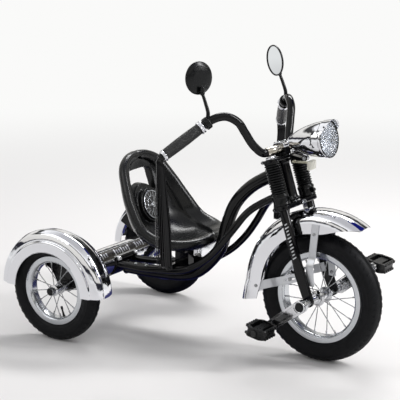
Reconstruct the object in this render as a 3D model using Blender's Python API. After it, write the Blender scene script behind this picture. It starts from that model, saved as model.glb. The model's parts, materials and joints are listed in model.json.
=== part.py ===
"""Children's chopper-style tricycle: swept tube frame, raked fork, moulded bucket seat.

Metres, +Z up, +X forward. The drawing's own origin is on the ground under the rear axle,
and one empty carries everything so that the model stands centred on the world's origin.
"""

import math

import bmesh
import bpy
from mathutils import Matrix, Vector

# Clearances
GAP = 0.0003
MERGE = 1e-6

# Rear wheels
REAR_R = 0.127
REAR_TRACK = 0.2363
REAR_TYRE_W = 0.044
REAR_FLANGE_R = 0.0865
REAR_RIM_W = 0.030
REAR_SPOKES = 16
REAR_HUB_HALF = 0.020
REAR_HUB_R = 0.0095
REAR_BARREL_R = 0.0086
REAR_HUB_FLANGE_R = 0.014
REAR_AXLE_R = 0.005
AXLE_COLLAR_R = 0.009
AXLE_NUT_R = 0.0105
AXLE_NUT_LENGTH = 0.010
AXLE_NUT_DOME_R = 0.0074

# Front wheel
FRONT_R = 0.1575
FRONT_X = 0.6124
FRONT_TYRE_W = 0.054
FRONT_FLANGE_R = 0.1115
FRONT_RIM_W = 0.032
FRONT_SPOKES = 20
FRONT_HUB_HALF = 0.026
FRONT_HUB_R = 0.011
FRONT_HUB_FLANGE_R = 0.019
FRONT_HUB_END_R = 0.0125
FRONT_AXLE_R = 0.0055
FRONT_SLEEVE_R = 0.008

# What both kinds of wheel share
TYRE_WALL = 0.0035
BEAD_DEPTH = 0.0060
RIM_LIP = 0.0025
RIM_DEPTH = 0.0165
RIM_TAPER = 0.0055
RIM_SHOULDER = 0.0045
RIM_WELL = 0.0050
HUB_FLANGE_T = 0.003
HUB_END = 0.006
HUB_DISH = 0.0015
HUB_SIDES = 12
SPOKE_R = 0.0012
SPOKE_SIDES = 4
SPOKE_LEAN = 16.0
SPOKE_INSET = 0.003
SPOKE_SPREAD = 0.004
FRONT_STEPS = 28
REAR_STEPS = 24

# The tyre's section from bead to tread: how far out from the rim, how far across, both as shares
TYRE_SIDE = (0.42, 1.0)
TYRE_UPPER = (0.72, 0.94)
TYRE_SHOULDER = (0.90, 0.66)
TYRE_TREAD = (1.0, 0.26)

# Rear beam and what sits on it
BEAM_R = 0.035
BEAM_WALL = 0.002
BEAM_SIDES = 24
BEAM_X = 0.005
BEAM_Z = 0.154
SADDLE_T = 0.004
SADDLE_HALF = 0.045
SADDLE_WRAP = 70.0
PLATE_T = 0.0035
PLATE_REACH = 0.133
PLATE_FRONT = 72.0
PLATE_REAR = 150.0
PLATE_FOOT_R = 0.016
PLATE_AHEAD = 0.003
PLATE_LOW = 0.002
PLATE_WAIST = 0.016
PLATE_SHOULDER = 0.048
PLATE_NECK = 0.020
PLATE_TAIL = [(-0.071, 0.043), (-0.052, 0.034), (-0.041, 0.020), (-0.034, PLATE_LOW)]

# Rear fenders
FENDER_R = 0.155
FENDER_WALL = 0.002
FENDER_OUTER = 0.0395
FENDER_INNER = 0.042
FENDER_END = 2.0
FENDER_SKIRT_R = 0.1015
FENDER_STEP_R = 0.128
FENDER_STEP = 0.0055
FENDER_INNER_R = 0.118

# The rounded top of the rear fender's section: how far across, how far below the crown
FENDER_CROWN = [(0.028, 0.007), (0.014, 0.0), (-0.010, 0.002), (-0.034, 0.011)]
FENDER_EDGE = 0.018
FENDER_STEP_RISE = 0.006

# Frame tubes
MAIN_TUBE_R = 0.016
LOWER_TUBE_R = 0.009
TUBE_SIDES = 12
LOWER_SIDES = 10

# Steering
RAKE = 18.0
STEER_X = 0.5994
HEAD_LOW = 0.2350
HEAD_HIGH = 0.3350
HEAD_R = 0.017
HEAD_SIDES = 16
HEAD_CUP_R = 0.0190
HEAD_CUP_T = 0.006
STEERER_R = 0.0125
HEAD_PLAY = 0.0016
CROWN_LOW_T = 0.016
CROWN_HIGH_T = 0.008
CROWN_MID_R = 0.021
CROWN_LOW_R = 0.0215
CROWN_HIGH_R = 0.0200
CUP_R = 0.0205
CUP_H = 0.024

# Fork legs
LEG_Y = 0.060
LEG_AHEAD = 0.0076
LEG_R = 0.0115
LEG_SIDES = 16
STANCHION_R = 0.0095
LEG_LOW = 0.076
CAP_R = 0.012
CAP_H = 0.006
CAP_EDGE = 0.002
DROPOUT_T = 0.010
DROPOUT_TOP = 0.070
DROPOUT_TOP_R = 0.0165
DROPOUT_R = 0.0115
DROPOUT_NECK = 0.016

# Gaiters
GAITER_CREST_R = 0.0195
GAITER_VALLEY_R = 0.0165
GAITER_BORE_R = 0.0115
GAITER_LIP = 0.003
GAITER_RIBS = 12
GAITER_STEPS = 10

# Stem and handlebar
BAR_AHEAD = 0.007
STEM_LOWER = 0.0170
STEM_UPPER = 0.0155
STEM_HALF_X = 0.0155
STEM_HALF_Y = 0.0125
STEM_FOOT_EDGE = 0.0015
STEM_TOP_EDGE = 0.005
STEM_SPLIT_EDGE = 0.0001
BAR_R = 0.010
BAR_SIDES = 10
GRIP_R = 0.0135
GRIP_EASE = 0.0004
GRIP_SWELL = 0.0008
GRIP_LENGTH = 0.100
RING_R = 0.016
RING_LENGTH = 0.010
END_RING_R = 0.0145
END_RING_LENGTH = 0.007
PLUG_R = 0.008
TASSEL_DROP = 0.250
TASSEL_STAND = 0.0125
TASSEL_TOP = 0.003
TASSEL_BLOCK_H = 0.010
TASSEL_NECK = 0.55
TASSEL_FLARE_LOW = 0.012
TASSEL_FLARE_END = 0.018
TASSEL_EDGE = 0.0006
STRAND_W = 0.0062
STRAND_T = 0.0022
STRAND_GAP_X = 0.0013
STRAND_GAP_Y = 0.0017
STRAND_EASE = 0.004
STRAND_COLUMNS = 4
STRAND_ROWS = 3

# Mirrors
MIRROR_R = 0.0385
MIRROR_T = 0.008
MIRROR_TILT = 4.3
MIRROR_BACK = 0.012
MIRROR_UP = 0.034
MIRROR_YAW_R = -18.7
MIRROR_YAW_L = 61.4
MIRROR_GLASS_T = 0.0015
MIRROR_SEAT = 0.0008
PIN_R = 0.0028
PIN_LENGTH = 0.010
KNUCKLE_R = 0.0058
KNUCKLE_TOP = 0.002
NECK_INSET = 0.0025
NECK_HALF = 0.004
MIRROR_EDGE = 0.002
MIRROR_STEM_R = 0.0040
MIRROR_STEM_TAPER = 0.75
BALL_R = 0.006
BALL_TOP = 0.003
MIRROR_CLAMP_R = 0.0145
MIRROR_CLAMP_W = 0.012

# Lamp
LAMP_TILT = 10.0
LAMP_R = 0.044
LAMP_LENGTH = 0.112
LAMP_WALL = 0.0015
LAMP_BOTTOM = 0.006
LAMP_PIVOT_X = 0.560
LAMP_PIVOT_Z = 0.488
LAMP_AHEAD = 0.059
LAMP_ABOVE = 0.052
LENS_BULGE = 0.006
LENS_T = 0.0025
LENS_AHEAD = 0.001
VISOR_REACH = 0.020
VISOR_BACK = 0.006
VISOR_T = 0.0018
VISOR_INSET = 0.0008
VISOR_START = 25.0
LUG_T = 0.0056
LUG_R = 0.0065
EAR_T = 0.0025
LAMP_PIN_R = 0.003
BRACKET_HALF = 0.008
BRACKET_PAD_T = 0.003
BRACKET_PAD_HALF = 0.010
BRACKET_PAD_DROP = 0.015
BRACKET_ARM_H = 0.007
EAR_BACK = 0.004
EAR_BACK_R = 0.0035
LUG_REACH = 0.0072
LUG_TOP_R = 0.0055
TAB_T = 0.002
TAB_HALF = 0.009
TAB_BELOW = 0.010
TAB_ABOVE = 0.008
TAB_START = 0.003
TAB_BEND = 0.017
TAB_OUT = 0.018
REFLECTOR_AHEAD = 0.0070
REFLECTOR_BELOW = 0.0180
REFLECTOR_W = 0.030
REFLECTOR_H = 0.022
REFLECTOR_T = 0.009
REFLECTOR_EDGE = 0.002

# Front fender and its stays
FRONT_FENDER_R = 0.204
FRONT_FENDER_AHEAD = 0.006
FRONT_FENDER_UP = 0.012
FRONT_FENDER_HALF = 0.0425
FRONT_FENDER_WALL = 0.002
FRONT_FENDER_DEPTH = 0.054
FRONT_FENDER_TIP = 58.0
FRONT_FENDER_FULL = 92.0
FRONT_FENDER_FLARE = 175.0
FRONT_FENDER_TAIL = 192.0
FRONT_FENDER_FLARE_OUT = 0.015
FRONT_FENDER_SHOULDER = 0.030
FRONT_FENDER_LIP = 0.004
FENDER_TONGUE_HALF = 0.008
FENDER_TONGUE_T = 0.002
FENDER_TONGUE_TOP = 0.014
FENDER_TONGUE_STEP = 0.003
FENDER_TONGUE_REACH = 0.016
STAY_T = 0.0025
STAY_H = 0.021
STAY_SLOPE = 20.3
STAY_BACK = 0.1344
STAY_UP = 0.0165
STAY_TAIL = 0.034
STAY_STEP_IN = 0.020
STAY_STEP_OUT = 0.042
STAY_BOW = 0.0465
STAY_TURN = 0.100
STAY_LAP = 0.111
STAY_END = 0.1205
STAY_SLOT_R = 0.003
STAY_SLOT_NEAR = 0.064
STAY_SLOT_FAR = 0.090
FRONT_STAY_W = 0.019
FRONT_STAY_LOW = 0.038
FRONT_STAY_BEND = 0.087
FRONT_STAY_OUT = 0.103
FRONT_STAY_HIGH = 0.186
FRONT_STAY_AHEAD = -0.0055
FRONT_STAY_LEAN = 0.085
FRONT_STAY_HEEL = -0.10

# Cranks and pedals
CRANK_THROW = 0.100
CRANK_ANGLE = 217.0
CRANK_BOSS_IN = 0.092
CRANK_BOSS_OUT = 0.108
CRANK_BOSS_R = 0.0155
CRANK_CAP_R = 0.0107
CRANK_CAP_H = 0.002
CRANK_END_R = 0.012
CRANK_ARM_IN = 0.096
CRANK_ARM_T = 0.008
CRANK_RAIL = 0.004
CRANK_WALL = 0.004
CRANK_COLLAR_R = 0.009
SPINDLE_R = 0.0045
SPINDLE_SHORT = 0.004
PEDAL_STAND = 0.006
PEDAL_LENGTH = 0.068
PEDAL_WIDTH = 0.056
PEDAL_T = 0.024
PEDAL_PITCH = 10.0
PEDAL_TUBE_R = 0.0085
PEDAL_RIM = 0.008
PEDAL_END = 0.006
PEDAL_CORNER = 0.006
PEDAL_GROOVE = 0.002
PEDAL_WEB = 0.0015
PEDAL_TROUGH = 0.003
PEDAL_RIBS = 5

# Seat
SEAT_T = 0.026
HOLE_HALF = 0.0475
HOLE_RISE = 0.088
HOLE_CORNER_R = 0.014
HOLE_BACK = 0.10
HOLE_FRONT = 0.06
BADGE_X = 0.1165
BADGE_Z = 0.310
BADGE_LEAN = 21.5
BOSS_R = 0.044
BOSS_H = 0.008
BADGE_R = 0.037
BADGE_T = 0.003
BADGE_RIM = 0.006
BADGE_FACE = 0.0018
BADGE_ARCH_R = 0.052

# Seat bracket
SEAT_PAD_X = 0.2200
SEAT_PAD_LENGTH = 0.048
SEAT_PAD_HALF = 0.034
SEAT_PAD_T = 0.004
SEAT_LEG_HALF = 0.012
SEAT_LEG_INSET = 0.004
SEAT_BAR_T = 0.010
SEAT_BAR_H = 0.012
SEAT_BAR_LIFT = 0.005
SEAT_BAR_REACH = 0.008

# Places worked out from the sizes above
RAKE_RAD = math.radians(RAKE)
AXLE_LEAD = FRONT_X - STEER_X
BEAM_HALF = REAR_TRACK - FENDER_INNER - PLATE_T - 2 * GAP
PLATE_Y = BEAM_HALF + GAP
CROWN_LOW_Z = HEAD_LOW - HEAD_PLAY - CROWN_LOW_T
CROWN_LOW_TOP = CROWN_LOW_Z + CROWN_LOW_T
CROWN_HIGH_Z = HEAD_HIGH + HEAD_PLAY
CROWN_HIGH_TOP = CROWN_HIGH_Z + CROWN_HIGH_T
GAITER_LOW = CROWN_LOW_TOP + CUP_H + GAP
GAITER_HIGH = CROWN_HIGH_Z - GAP
BAR_HIGH = CROWN_HIGH_TOP + GAP + STEM_LOWER
CROWN_FACE = LEG_AHEAD + CROWN_HIGH_R
LOW_FACE = LEG_AHEAD + CROWN_LOW_R
CRANK_SOCKET_END = CRANK_BOSS_OUT - CRANK_WALL
PEDAL_Y = CRANK_ARM_IN + CRANK_ARM_T + PEDAL_STAND + PEDAL_LENGTH / 2
REAR_END = -FENDER_R * math.cos(math.radians(FENDER_END))
MIDDLE_X = (FRONT_X + FRONT_R + REAR_END) / 2

# Centre line of the fat tube, from inside the head tube back to inside the beam (x, y, z)
MAIN_PATH = [
    (0.5020, 0.0, 0.4515),
    (0.4550, 0.0, 0.4265),
    (0.4140, 0.0, 0.4000),
    (0.3690, 0.0, 0.3510),
    (0.3440, 0.0, 0.2900),
    (0.3310, 0.0, 0.2410),
    (0.2960, 0.0, 0.1910),
    (0.2520, 0.0, 0.1560),
    (0.2130, 0.0, 0.1450),
    (0.1560, 0.0, 0.1400),
    (0.0600, 0.0, 0.1365),
    (0.0200, 0.0, 0.1365),
]

# Centre line of the left thin tube
LOWER_PATH = [
    (0.5095, 0.0120, 0.3970),
    (0.4720, 0.0130, 0.3780),
    (0.4320, 0.0400, 0.3490),
    (0.3960, 0.0550, 0.3000),
    (0.3630, 0.0600, 0.2560),
    (0.3230, 0.0600, 0.2160),
    (0.2620, 0.0590, 0.1790),
    (0.1900, 0.0530, 0.1650),
    (0.1180, 0.0420, 0.1540),
    (0.0620, 0.0350, 0.1520),
    (0.0200, 0.0350, 0.1520),
]

# Centre line of the handlebar's left half, from the middle of the stem clamp
BAR_BEND = [
    (0.0000, 0.0360, 0.0000),
    (-0.0140, 0.0610, -0.0040),
    (-0.0270, 0.0810, 0.0140),
    (-0.0380, 0.1050, 0.0490),
    (-0.0470, 0.1230, 0.0760),
    (-0.0670, 0.1460, 0.0905),
    (-0.0860, 0.1680, 0.0855),
]
GRIP_START = Vector((-0.1060, 0.1890, 0.0670))
GRIP_AIM = Vector((-0.0510, 0.0770, -0.0595)).normalized()

# Left half of the seat's rim, from the top of the back to the front lip
SEAT_RIM = [
    (0.078, 0.000, 0.441),
    (0.080, 0.040, 0.438),
    (0.086, 0.070, 0.425),
    (0.112, 0.098, 0.378),
    (0.148, 0.117, 0.320),
    (0.186, 0.124, 0.277),
    (0.236, 0.119, 0.261),
    (0.285, 0.088, 0.256),
    (0.303, 0.050, 0.259),
    (0.310, 0.000, 0.262),
]

# The middle of the seat's shell along its centre line, one point for each point of the rim
SEAT_SPINE = [
    (0.078, 0.0, 0.441),
    (0.066, 0.0, 0.424),
    (0.067, 0.0, 0.404),
    (0.081, 0.0, 0.362),
    (0.099, 0.0, 0.316),
    (0.119, 0.0, 0.271),
    (0.167, 0.0, 0.235),
    (0.235, 0.0, 0.2315),
    (0.280, 0.0, 0.240),
    (0.310, 0.0, 0.262),
]

# Mirror arm from the middle of its clamp to the pin that the head turns on
MIRROR_CLAMP = Vector((-0.0960, 0.1790, 0.0765))
MIRROR_PATH = [
    (-0.0948, 0.1780, 0.0880),
    (-0.0945, 0.1770, 0.0980),
    (-0.1020, 0.1760, 0.1210),
    (-0.1120, 0.1750, 0.1440),
]


# Materials

def make_material(name, colour, roughness, metallic):
    """A plain surface of one colour."""
    material = bpy.data.materials.new(name)
    material.use_nodes = True
    shader = material.node_tree.nodes["Principled BSDF"]
    shader.inputs["Base Color"].default_value = (*colour, 1.0)
    shader.inputs["Roughness"].default_value = roughness
    shader.inputs["Metallic"].default_value = metallic
    return material


def chrome(name):
    return make_material(name + "_chrome", (0.80, 0.81, 0.83), 0.08, 1.0)


def black_paint(name):
    return make_material(name + "_black_paint", (0.012, 0.012, 0.014), 0.22, 0.0)


def rubber(name):
    return make_material(name + "_rubber", (0.018, 0.018, 0.020), 0.65, 0.0)


def black_plastic(name):
    return make_material(name + "_black_plastic", (0.015, 0.015, 0.017), 0.35, 0.0)


def steel(name):
    return make_material(name + "_steel", (0.55, 0.56, 0.58), 0.30, 1.0)


def clear_plastic(name):
    return make_material(name + "_clear_plastic", (0.85, 0.88, 0.92), 0.10, 0.0)


def mirror_glass(name):
    return make_material(name + "_mirror", (0.75, 0.78, 0.80), 0.05, 1.0)


# Outlines in two dimensions

def arc(centre, radius, start, end, steps):
    """Points on an arc, its angles in degrees."""
    points = []
    for i in range(steps + 1):
        angle = math.radians(start + (end - start) * i / steps)
        points.append((centre[0] + radius * math.cos(angle), centre[1] + radius * math.sin(angle)))
    return points


def circle(centre, radius, steps):
    return arc(centre, radius, 0.0, 360.0, steps)[:-1]


def hull(circles, steps):
    """The outline of a band stretched round circles of (x, y, radius)."""
    cloud = set()
    for x, y, radius in circles:
        for px, py in circle((x, y), radius, steps):
            cloud.add((round(px, 7), round(py, 7)))
    cloud = sorted(cloud)

    def half(points):
        chain = []
        for p in points:
            while len(chain) > 1 and turn(chain[-2], chain[-1], p) <= 0:
                chain.pop()
            chain.append(p)
        return chain[:-1]

    return half(cloud) + half(reversed(cloud))


def turn(a, b, c):
    """Positive where the way from a through b to c turns left."""
    return (b[0] - a[0]) * (c[1] - b[1]) - (b[1] - a[1]) * (c[0] - b[0])


def thicken(line, thickness, side=1.0):
    """Close an open line into the outline of a wall that lies on its right hand, or its left."""
    offset = []
    for i, point in enumerate(line):
        before = line[max(i - 1, 0)]
        after = line[min(i + 1, len(line) - 1)]
        first = Vector((point[0] - before[0], point[1] - before[1]))
        second = Vector((after[0] - point[0], after[1] - point[1]))
        if first.length < MERGE:
            first = second
        if second.length < MERGE:
            second = first
        first.normalize()
        second.normalize()
        normal = Vector((first.y + second.y, -first.x - second.x)).normalized() * side
        stretch = 1.0 / max(normal.dot(Vector((first.y, -first.x)) * side), 0.5)
        offset.append((point[0] + normal.x * thickness * stretch,
                       point[1] + normal.y * thickness * stretch))
    return list(line) + offset[::-1]


def centred(line, thickness):
    """The outline of a strip with the line along its middle."""
    left = thicken(line, thickness / 2, -1.0)[len(line):]
    right = thicken(line, thickness / 2, 1.0)[len(line):]
    return left[::-1] + right


# Curves in space

def smooth_path(points, steps):
    """Read a smooth curve through the points, steps times in each span."""
    points = [Vector(p) for p in points]
    spans = [(b - a).length for a, b in zip(points, points[1:])]
    slopes = [(b - a) / span for a, b, span in zip(points, points[1:], spans)]
    tangents = [slopes[0]]
    for i in range(1, len(slopes)):
        total = spans[i - 1] + spans[i]
        tangents.append((slopes[i - 1] * spans[i] + slopes[i] * spans[i - 1]) / total)
    tangents.append(slopes[-1])
    curve = []
    for i, span in enumerate(spans):
        for k in range(steps):
            t = k / steps
            curve.append(points[i] * (2 * t ** 3 - 3 * t ** 2 + 1)
                         + tangents[i] * span * (t ** 3 - 2 * t ** 2 + t)
                         + points[i + 1] * (3 * t ** 2 - 2 * t ** 3)
                         + tangents[i + 1] * span * (t ** 3 - t ** 2))
    curve.append(points[-1])
    return curve


def mirrored(point):
    return Vector((point[0], -point[1], point[2]))


# Solids

def loft(rings, closed=False):
    """Skin a row of rings that have the same number of points, with flat ends unless closed."""
    bm = bmesh.new()
    rows = [[bm.verts.new(p) for p in ring] for ring in rings]
    pairs = list(zip(rows, rows[1:]))
    if closed:
        pairs.append((rows[-1], rows[0]))
    for low, high in pairs:
        count = len(low)
        for i in range(count):
            j = (i + 1) % count
            bm.faces.new((low[i], low[j], high[j], high[i]))
    if not closed:
        bm.faces.new(rows[0][::-1])
        bm.faces.new(rows[-1])
    bmesh.ops.remove_doubles(bm, verts=bm.verts, dist=MERGE)
    bare = [edge for edge in bm.edges if not edge.link_faces]
    bmesh.ops.delete(bm, geom=bare, context="EDGES")
    bmesh.ops.recalc_face_normals(bm, faces=bm.faces)
    return bm


def stand(point, height, axis):
    """Put a flat point at a height along an axis. The flat is XZ for Y, YZ for X, XY for Z."""
    if axis == "X":
        return Vector((height, point[0], point[1]))
    if axis == "Y":
        return Vector((point[0], height, point[1]))
    return Vector((point[0], point[1], height))


def prism(outline, low, high, axis="Z"):
    return loft([[stand(p, low, axis) for p in outline], [stand(p, high, axis) for p in outline]])


def box(x0, x1, y0, y1, z0, z1):
    return prism([(x0, y0), (x1, y0), (x1, y1), (x0, y1)], z0, z1)


def revolve(profile, segments, axis="Z"):
    """Turn a closed profile of (radius, along) about an axis. Each facet's middle has its radius
    times the cosine of half a step."""
    rings = []
    for i in range(segments):
        angle = 2 * math.pi * (i + 0.5) / segments
        ring = []
        for radius, along in profile:
            ring.append(stand((radius * math.cos(angle), radius * math.sin(angle)), along, axis))
        rings.append(ring)
    return loft(rings, closed=True)


def over_flats(radius, segments):
    """The corner radius of a round piece whose facets lie at the radius asked for."""
    return radius / math.cos(math.pi / segments)


def bore(shaft_radius, segments):
    """The corner radius of a hole that clears a shaft all round."""
    return over_flats(shaft_radius + GAP, segments)


def rod(radius, low, high, segments, axis="Z"):
    return revolve([(0, low), (radius, low), (radius, high), (0, high)], segments, axis)


def tube(inner, outer, low, high, segments, axis="Z"):
    return revolve([(inner, low), (outer, low), (outer, high), (inner, high)], segments, axis)


def sweep(path, radius, sides, taper=1.0):
    """A round bar along a path, which may narrow to a share of its radius."""
    path = [Vector(p) for p in path]
    normal = Vector((0.0, 0.0, 1.0))
    rings = []
    for i, point in enumerate(path):
        tangent = (path[min(i + 1, len(path) - 1)] - path[max(i - 1, 0)]).normalized()
        normal = normal - tangent * normal.dot(tangent)
        if normal.length < MERGE:
            normal = tangent.orthogonal()
        normal.normalize()
        across = tangent.cross(normal)
        size = radius * (1 + (taper - 1) * i / (len(path) - 1))
        rings.append([point + (normal * math.cos(a) + across * math.sin(a)) * size
                      for a in (2 * math.pi * k / sides for k in range(sides))])
    return loft(rings)


def moved(bm, matrix):
    bmesh.ops.transform(bm, matrix=matrix, verts=bm.verts)
    return bm


def shifted(bm, x, y, z):
    return moved(bm, Matrix.Translation((x, y, z)))


def pitched(bm, degrees):
    """Turn about the Y axis: positive raises +Z towards +X."""
    return moved(bm, Matrix.Rotation(math.radians(degrees), 4, "Y"))


def aimed(bm, point, direction):
    """Turn the solid's Z axis to a direction and set its origin at a point."""
    turn_to = Vector(direction).to_track_quat("Z", "Y").to_matrix().to_4x4()
    return moved(bm, Matrix.Translation(point) @ turn_to)


def reflected(bm):
    """The mirror image on the other side of the middle plane."""
    moved(bm, Matrix.Diagonal((1, -1, 1, 1)))
    bmesh.ops.reverse_faces(bm, faces=bm.faces)
    return bm


def on_side(bm, side):
    return bm if side > 0 else reflected(bm)


def link_mesh(name, bm):
    mesh = bpy.data.meshes.new(name)
    bm.to_mesh(mesh)
    bm.free()
    obj = bpy.data.objects.new(name, mesh)
    bpy.context.scene.collection.objects.link(obj)
    return obj


def combine(base, tools, operation):
    """Join the tools to the base, or cut them out of it."""
    target = link_mesh("target", base)
    helpers = []
    for tool in tools:
        helper = link_mesh("tool", tool)
        helpers.append(helper)
        modifier = target.modifiers.new("combine", "BOOLEAN")
        modifier.operation = operation
        modifier.solver = "EXACT"
        modifier.object = helper
    bpy.context.view_layer.update()
    result = bmesh.new()
    result.from_object(target, bpy.context.evaluated_depsgraph_get())
    for obj in [target] + helpers:
        mesh = obj.data
        bpy.data.objects.remove(obj, do_unlink=True)
        bpy.data.meshes.remove(mesh)
    bmesh.ops.remove_doubles(result, verts=result.verts, dist=MERGE)
    bmesh.ops.dissolve_degenerate(result, edges=result.edges, dist=MERGE)
    return result


def join(base, *tools):
    return combine(base, tools, "UNION")


def cut(base, *tools):
    return combine(base, tools, "DIFFERENCE")


# The scene

def clear_scene():
    for obj in list(bpy.data.objects):
        bpy.data.objects.remove(obj, do_unlink=True)


def add_empty(name, parent, location=(0.0, 0.0, 0.0), pitch=0.0, yaw=0.0):
    """A joint's frame: turned about Y by pitch and about Z by yaw, in degrees."""
    empty = bpy.data.objects.new(name, None)
    bpy.context.scene.collection.objects.link(empty)
    empty.empty_display_size = 0.03
    empty.parent = parent
    empty.location = location
    empty.rotation_euler = (0.0, math.radians(pitch), math.radians(yaw))
    return empty


def add_part(name, bm, material, parent, sharp=35.0):
    """Add a solid, drawn in its parent's own frame, as a named object."""
    bmesh.ops.recalc_face_normals(bm, faces=bm.faces)
    obj = link_mesh(name, bm)
    obj.data.name = name
    obj.data.materials.append(material)
    obj.data.shade_smooth()
    obj.data.set_sharp_from_angle(angle=math.radians(sharp))
    obj.parent = parent
    return obj


# Wheels, each drawn about its own centre with the axle along Y

def rim_solid(flange, half, steps):
    """A rim with two lips and a drop centre, open outwards."""
    floor = flange - RIM_DEPTH
    shoulder = flange - RIM_DEPTH + RIM_SHOULDER
    well = half - RIM_LIP - RIM_WELL
    profile = [(flange, -half), (shoulder, -half), (floor, -half + RIM_TAPER),
               (floor, half - RIM_TAPER), (shoulder, half), (flange, half),
               (flange, half - RIM_LIP), (floor + RIM_LIP, well), (floor + RIM_LIP, -well),
               (flange, -half + RIM_LIP)]
    return revolve(profile, steps, "Y")


def tyre_solid(radius, width, flange, half, steps):
    """A tyre wall round its air space, with beads between the rim's lips. Its lowest facet lies
    flat on the ground."""
    w = width / 2
    height = radius - flange
    tread = over_flats(radius, steps)
    lip = half - RIM_LIP - GAP
    bead = lip - RIM_WELL * BEAD_DEPTH / (RIM_DEPTH - RIM_LIP)
    foot = flange - BEAD_DEPTH
    right = [(foot, bead), (flange, lip)]
    for out, across in (TYRE_SIDE, TYRE_UPPER, TYRE_SHOULDER, TYRE_TREAD):
        right.append((flange + out * (tread - flange), across * w))
    inner = [(tread - TYRE_WALL, TYRE_TREAD[1] * w),
             (flange + TYRE_UPPER[0] * height - TYRE_WALL, TYRE_UPPER[1] * w - TYRE_WALL),
             (foot, bead - TYRE_WALL)]
    outer = right + [(r, -a) for r, a in reversed(right)]
    inside = [(r, -a) for r, a in reversed(inner)] + inner
    return revolve(outer + inside, steps, "Y")


def spoke_set(count, flange_r, flange_y, rim_floor):
    """Straight spokes from the two hub flanges in turn to the rim's floor, leaning in pairs."""
    spokes = bmesh.new()
    for i in range(count):
        side = 1 if i % 2 else -1
        lean = SPOKE_LEAN if (i // 2) % 2 else -SPOKE_LEAN
        end_angle = math.radians(360.0 * (i + 0.5) / count)
        start_angle = end_angle + math.radians(lean)
        start_r = flange_r - SPOKE_INSET
        start = Vector((start_r * math.cos(start_angle), side * flange_y,
                        start_r * math.sin(start_angle)))
        end_r = rim_floor - GAP
        end = Vector((end_r * math.cos(end_angle), side * SPOKE_SPREAD, end_r * math.sin(end_angle)))
        spoke = sweep([start, end], SPOKE_R, SPOKE_SIDES)
        mesh = bpy.data.meshes.new("spoke")
        spoke.to_mesh(mesh)
        spoke.free()
        spokes.from_mesh(mesh)
        bpy.data.meshes.remove(mesh)
    return spokes


def hub_shell(half, barrel_r, flange_r, end_r):
    """Right half of a hub's outline, from its middle to its end."""
    flange_y = half - HUB_END
    return [(barrel_r, 0.0), (barrel_r, flange_y - HUB_FLANGE_T), (flange_r, flange_y - HUB_FLANGE_T),
            (flange_r, flange_y), (end_r, flange_y + HUB_DISH), (end_r, half)]


def flange_middle(half):
    """How far from the hub's middle its spokes start."""
    return half - HUB_END - HUB_FLANGE_T / 2


def both_ways(half_profile):
    """A profile and its mirror image across the wheel's middle, from left end to right end."""
    other = [(r, -a) for r, a in reversed(half_profile) if a > 0]
    return other + half_profile


def rear_hub_solid():
    outer = both_ways(hub_shell(REAR_HUB_HALF, REAR_BARREL_R, REAR_HUB_FLANGE_R, REAR_HUB_R))
    hole = bore(REAR_AXLE_R, HUB_SIDES)
    body = revolve(outer + [(hole, REAR_HUB_HALF), (hole, -REAR_HUB_HALF)], HUB_SIDES, "Y")
    floor = over_rim_floor(REAR_FLANGE_R, REAR_STEPS)
    spokes = spoke_set(REAR_SPOKES, REAR_HUB_FLANGE_R, flange_middle(REAR_HUB_HALF), floor)
    return join(body, spokes)


def over_rim_floor(flange, steps):
    """Where the facets of the rim's floor lie, measured at their middles."""
    return (flange - RIM_DEPTH) * math.cos(math.pi / steps)


def front_hub_solid():
    """Hub shell, sleeves, axle and spokes: the axle carries the cranks, so all turn as one."""
    shell = hub_shell(FRONT_HUB_HALF, FRONT_HUB_R, FRONT_HUB_FLANGE_R, FRONT_HUB_END_R)
    inner = LEG_Y - DROPOUT_T / 2 - GAP
    outer = LEG_Y + DROPOUT_T / 2 + GAP
    half = shell + [(FRONT_SLEEVE_R, FRONT_HUB_HALF), (FRONT_SLEEVE_R, inner),
                    (FRONT_AXLE_R, inner), (FRONT_AXLE_R, outer),
                    (CRANK_COLLAR_R, outer), (CRANK_COLLAR_R, CRANK_BOSS_IN - GAP),
                    (FRONT_AXLE_R, CRANK_BOSS_IN - GAP), (FRONT_AXLE_R, CRANK_SOCKET_END),
                    (0.0, CRANK_SOCKET_END)]
    body = revolve(both_ways(half), HUB_SIDES, "Y")
    floor = over_rim_floor(FRONT_FLANGE_R, FRONT_STEPS)
    spokes = spoke_set(FRONT_SPOKES, FRONT_HUB_FLANGE_R, flange_middle(FRONT_HUB_HALF), floor)
    return join(body, spokes)


def build_rear_wheel(root, side, tag):
    wheel = add_empty("rear_wheel_" + tag, root, (0.0, side * REAR_TRACK, REAR_R))
    tyre = tyre_solid(REAR_R, REAR_TYRE_W, REAR_FLANGE_R, REAR_RIM_W / 2, REAR_STEPS)
    rim = rim_solid(REAR_FLANGE_R, REAR_RIM_W / 2, REAR_STEPS)
    add_part("rear_tyre_" + tag, tyre, rubber("rear_tyre_" + tag), wheel)
    add_part("rear_rim_" + tag, rim, chrome("rear_rim_" + tag), wheel)
    add_part("rear_hub_" + tag, rear_hub_solid(), steel("rear_hub_" + tag), wheel)


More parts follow.
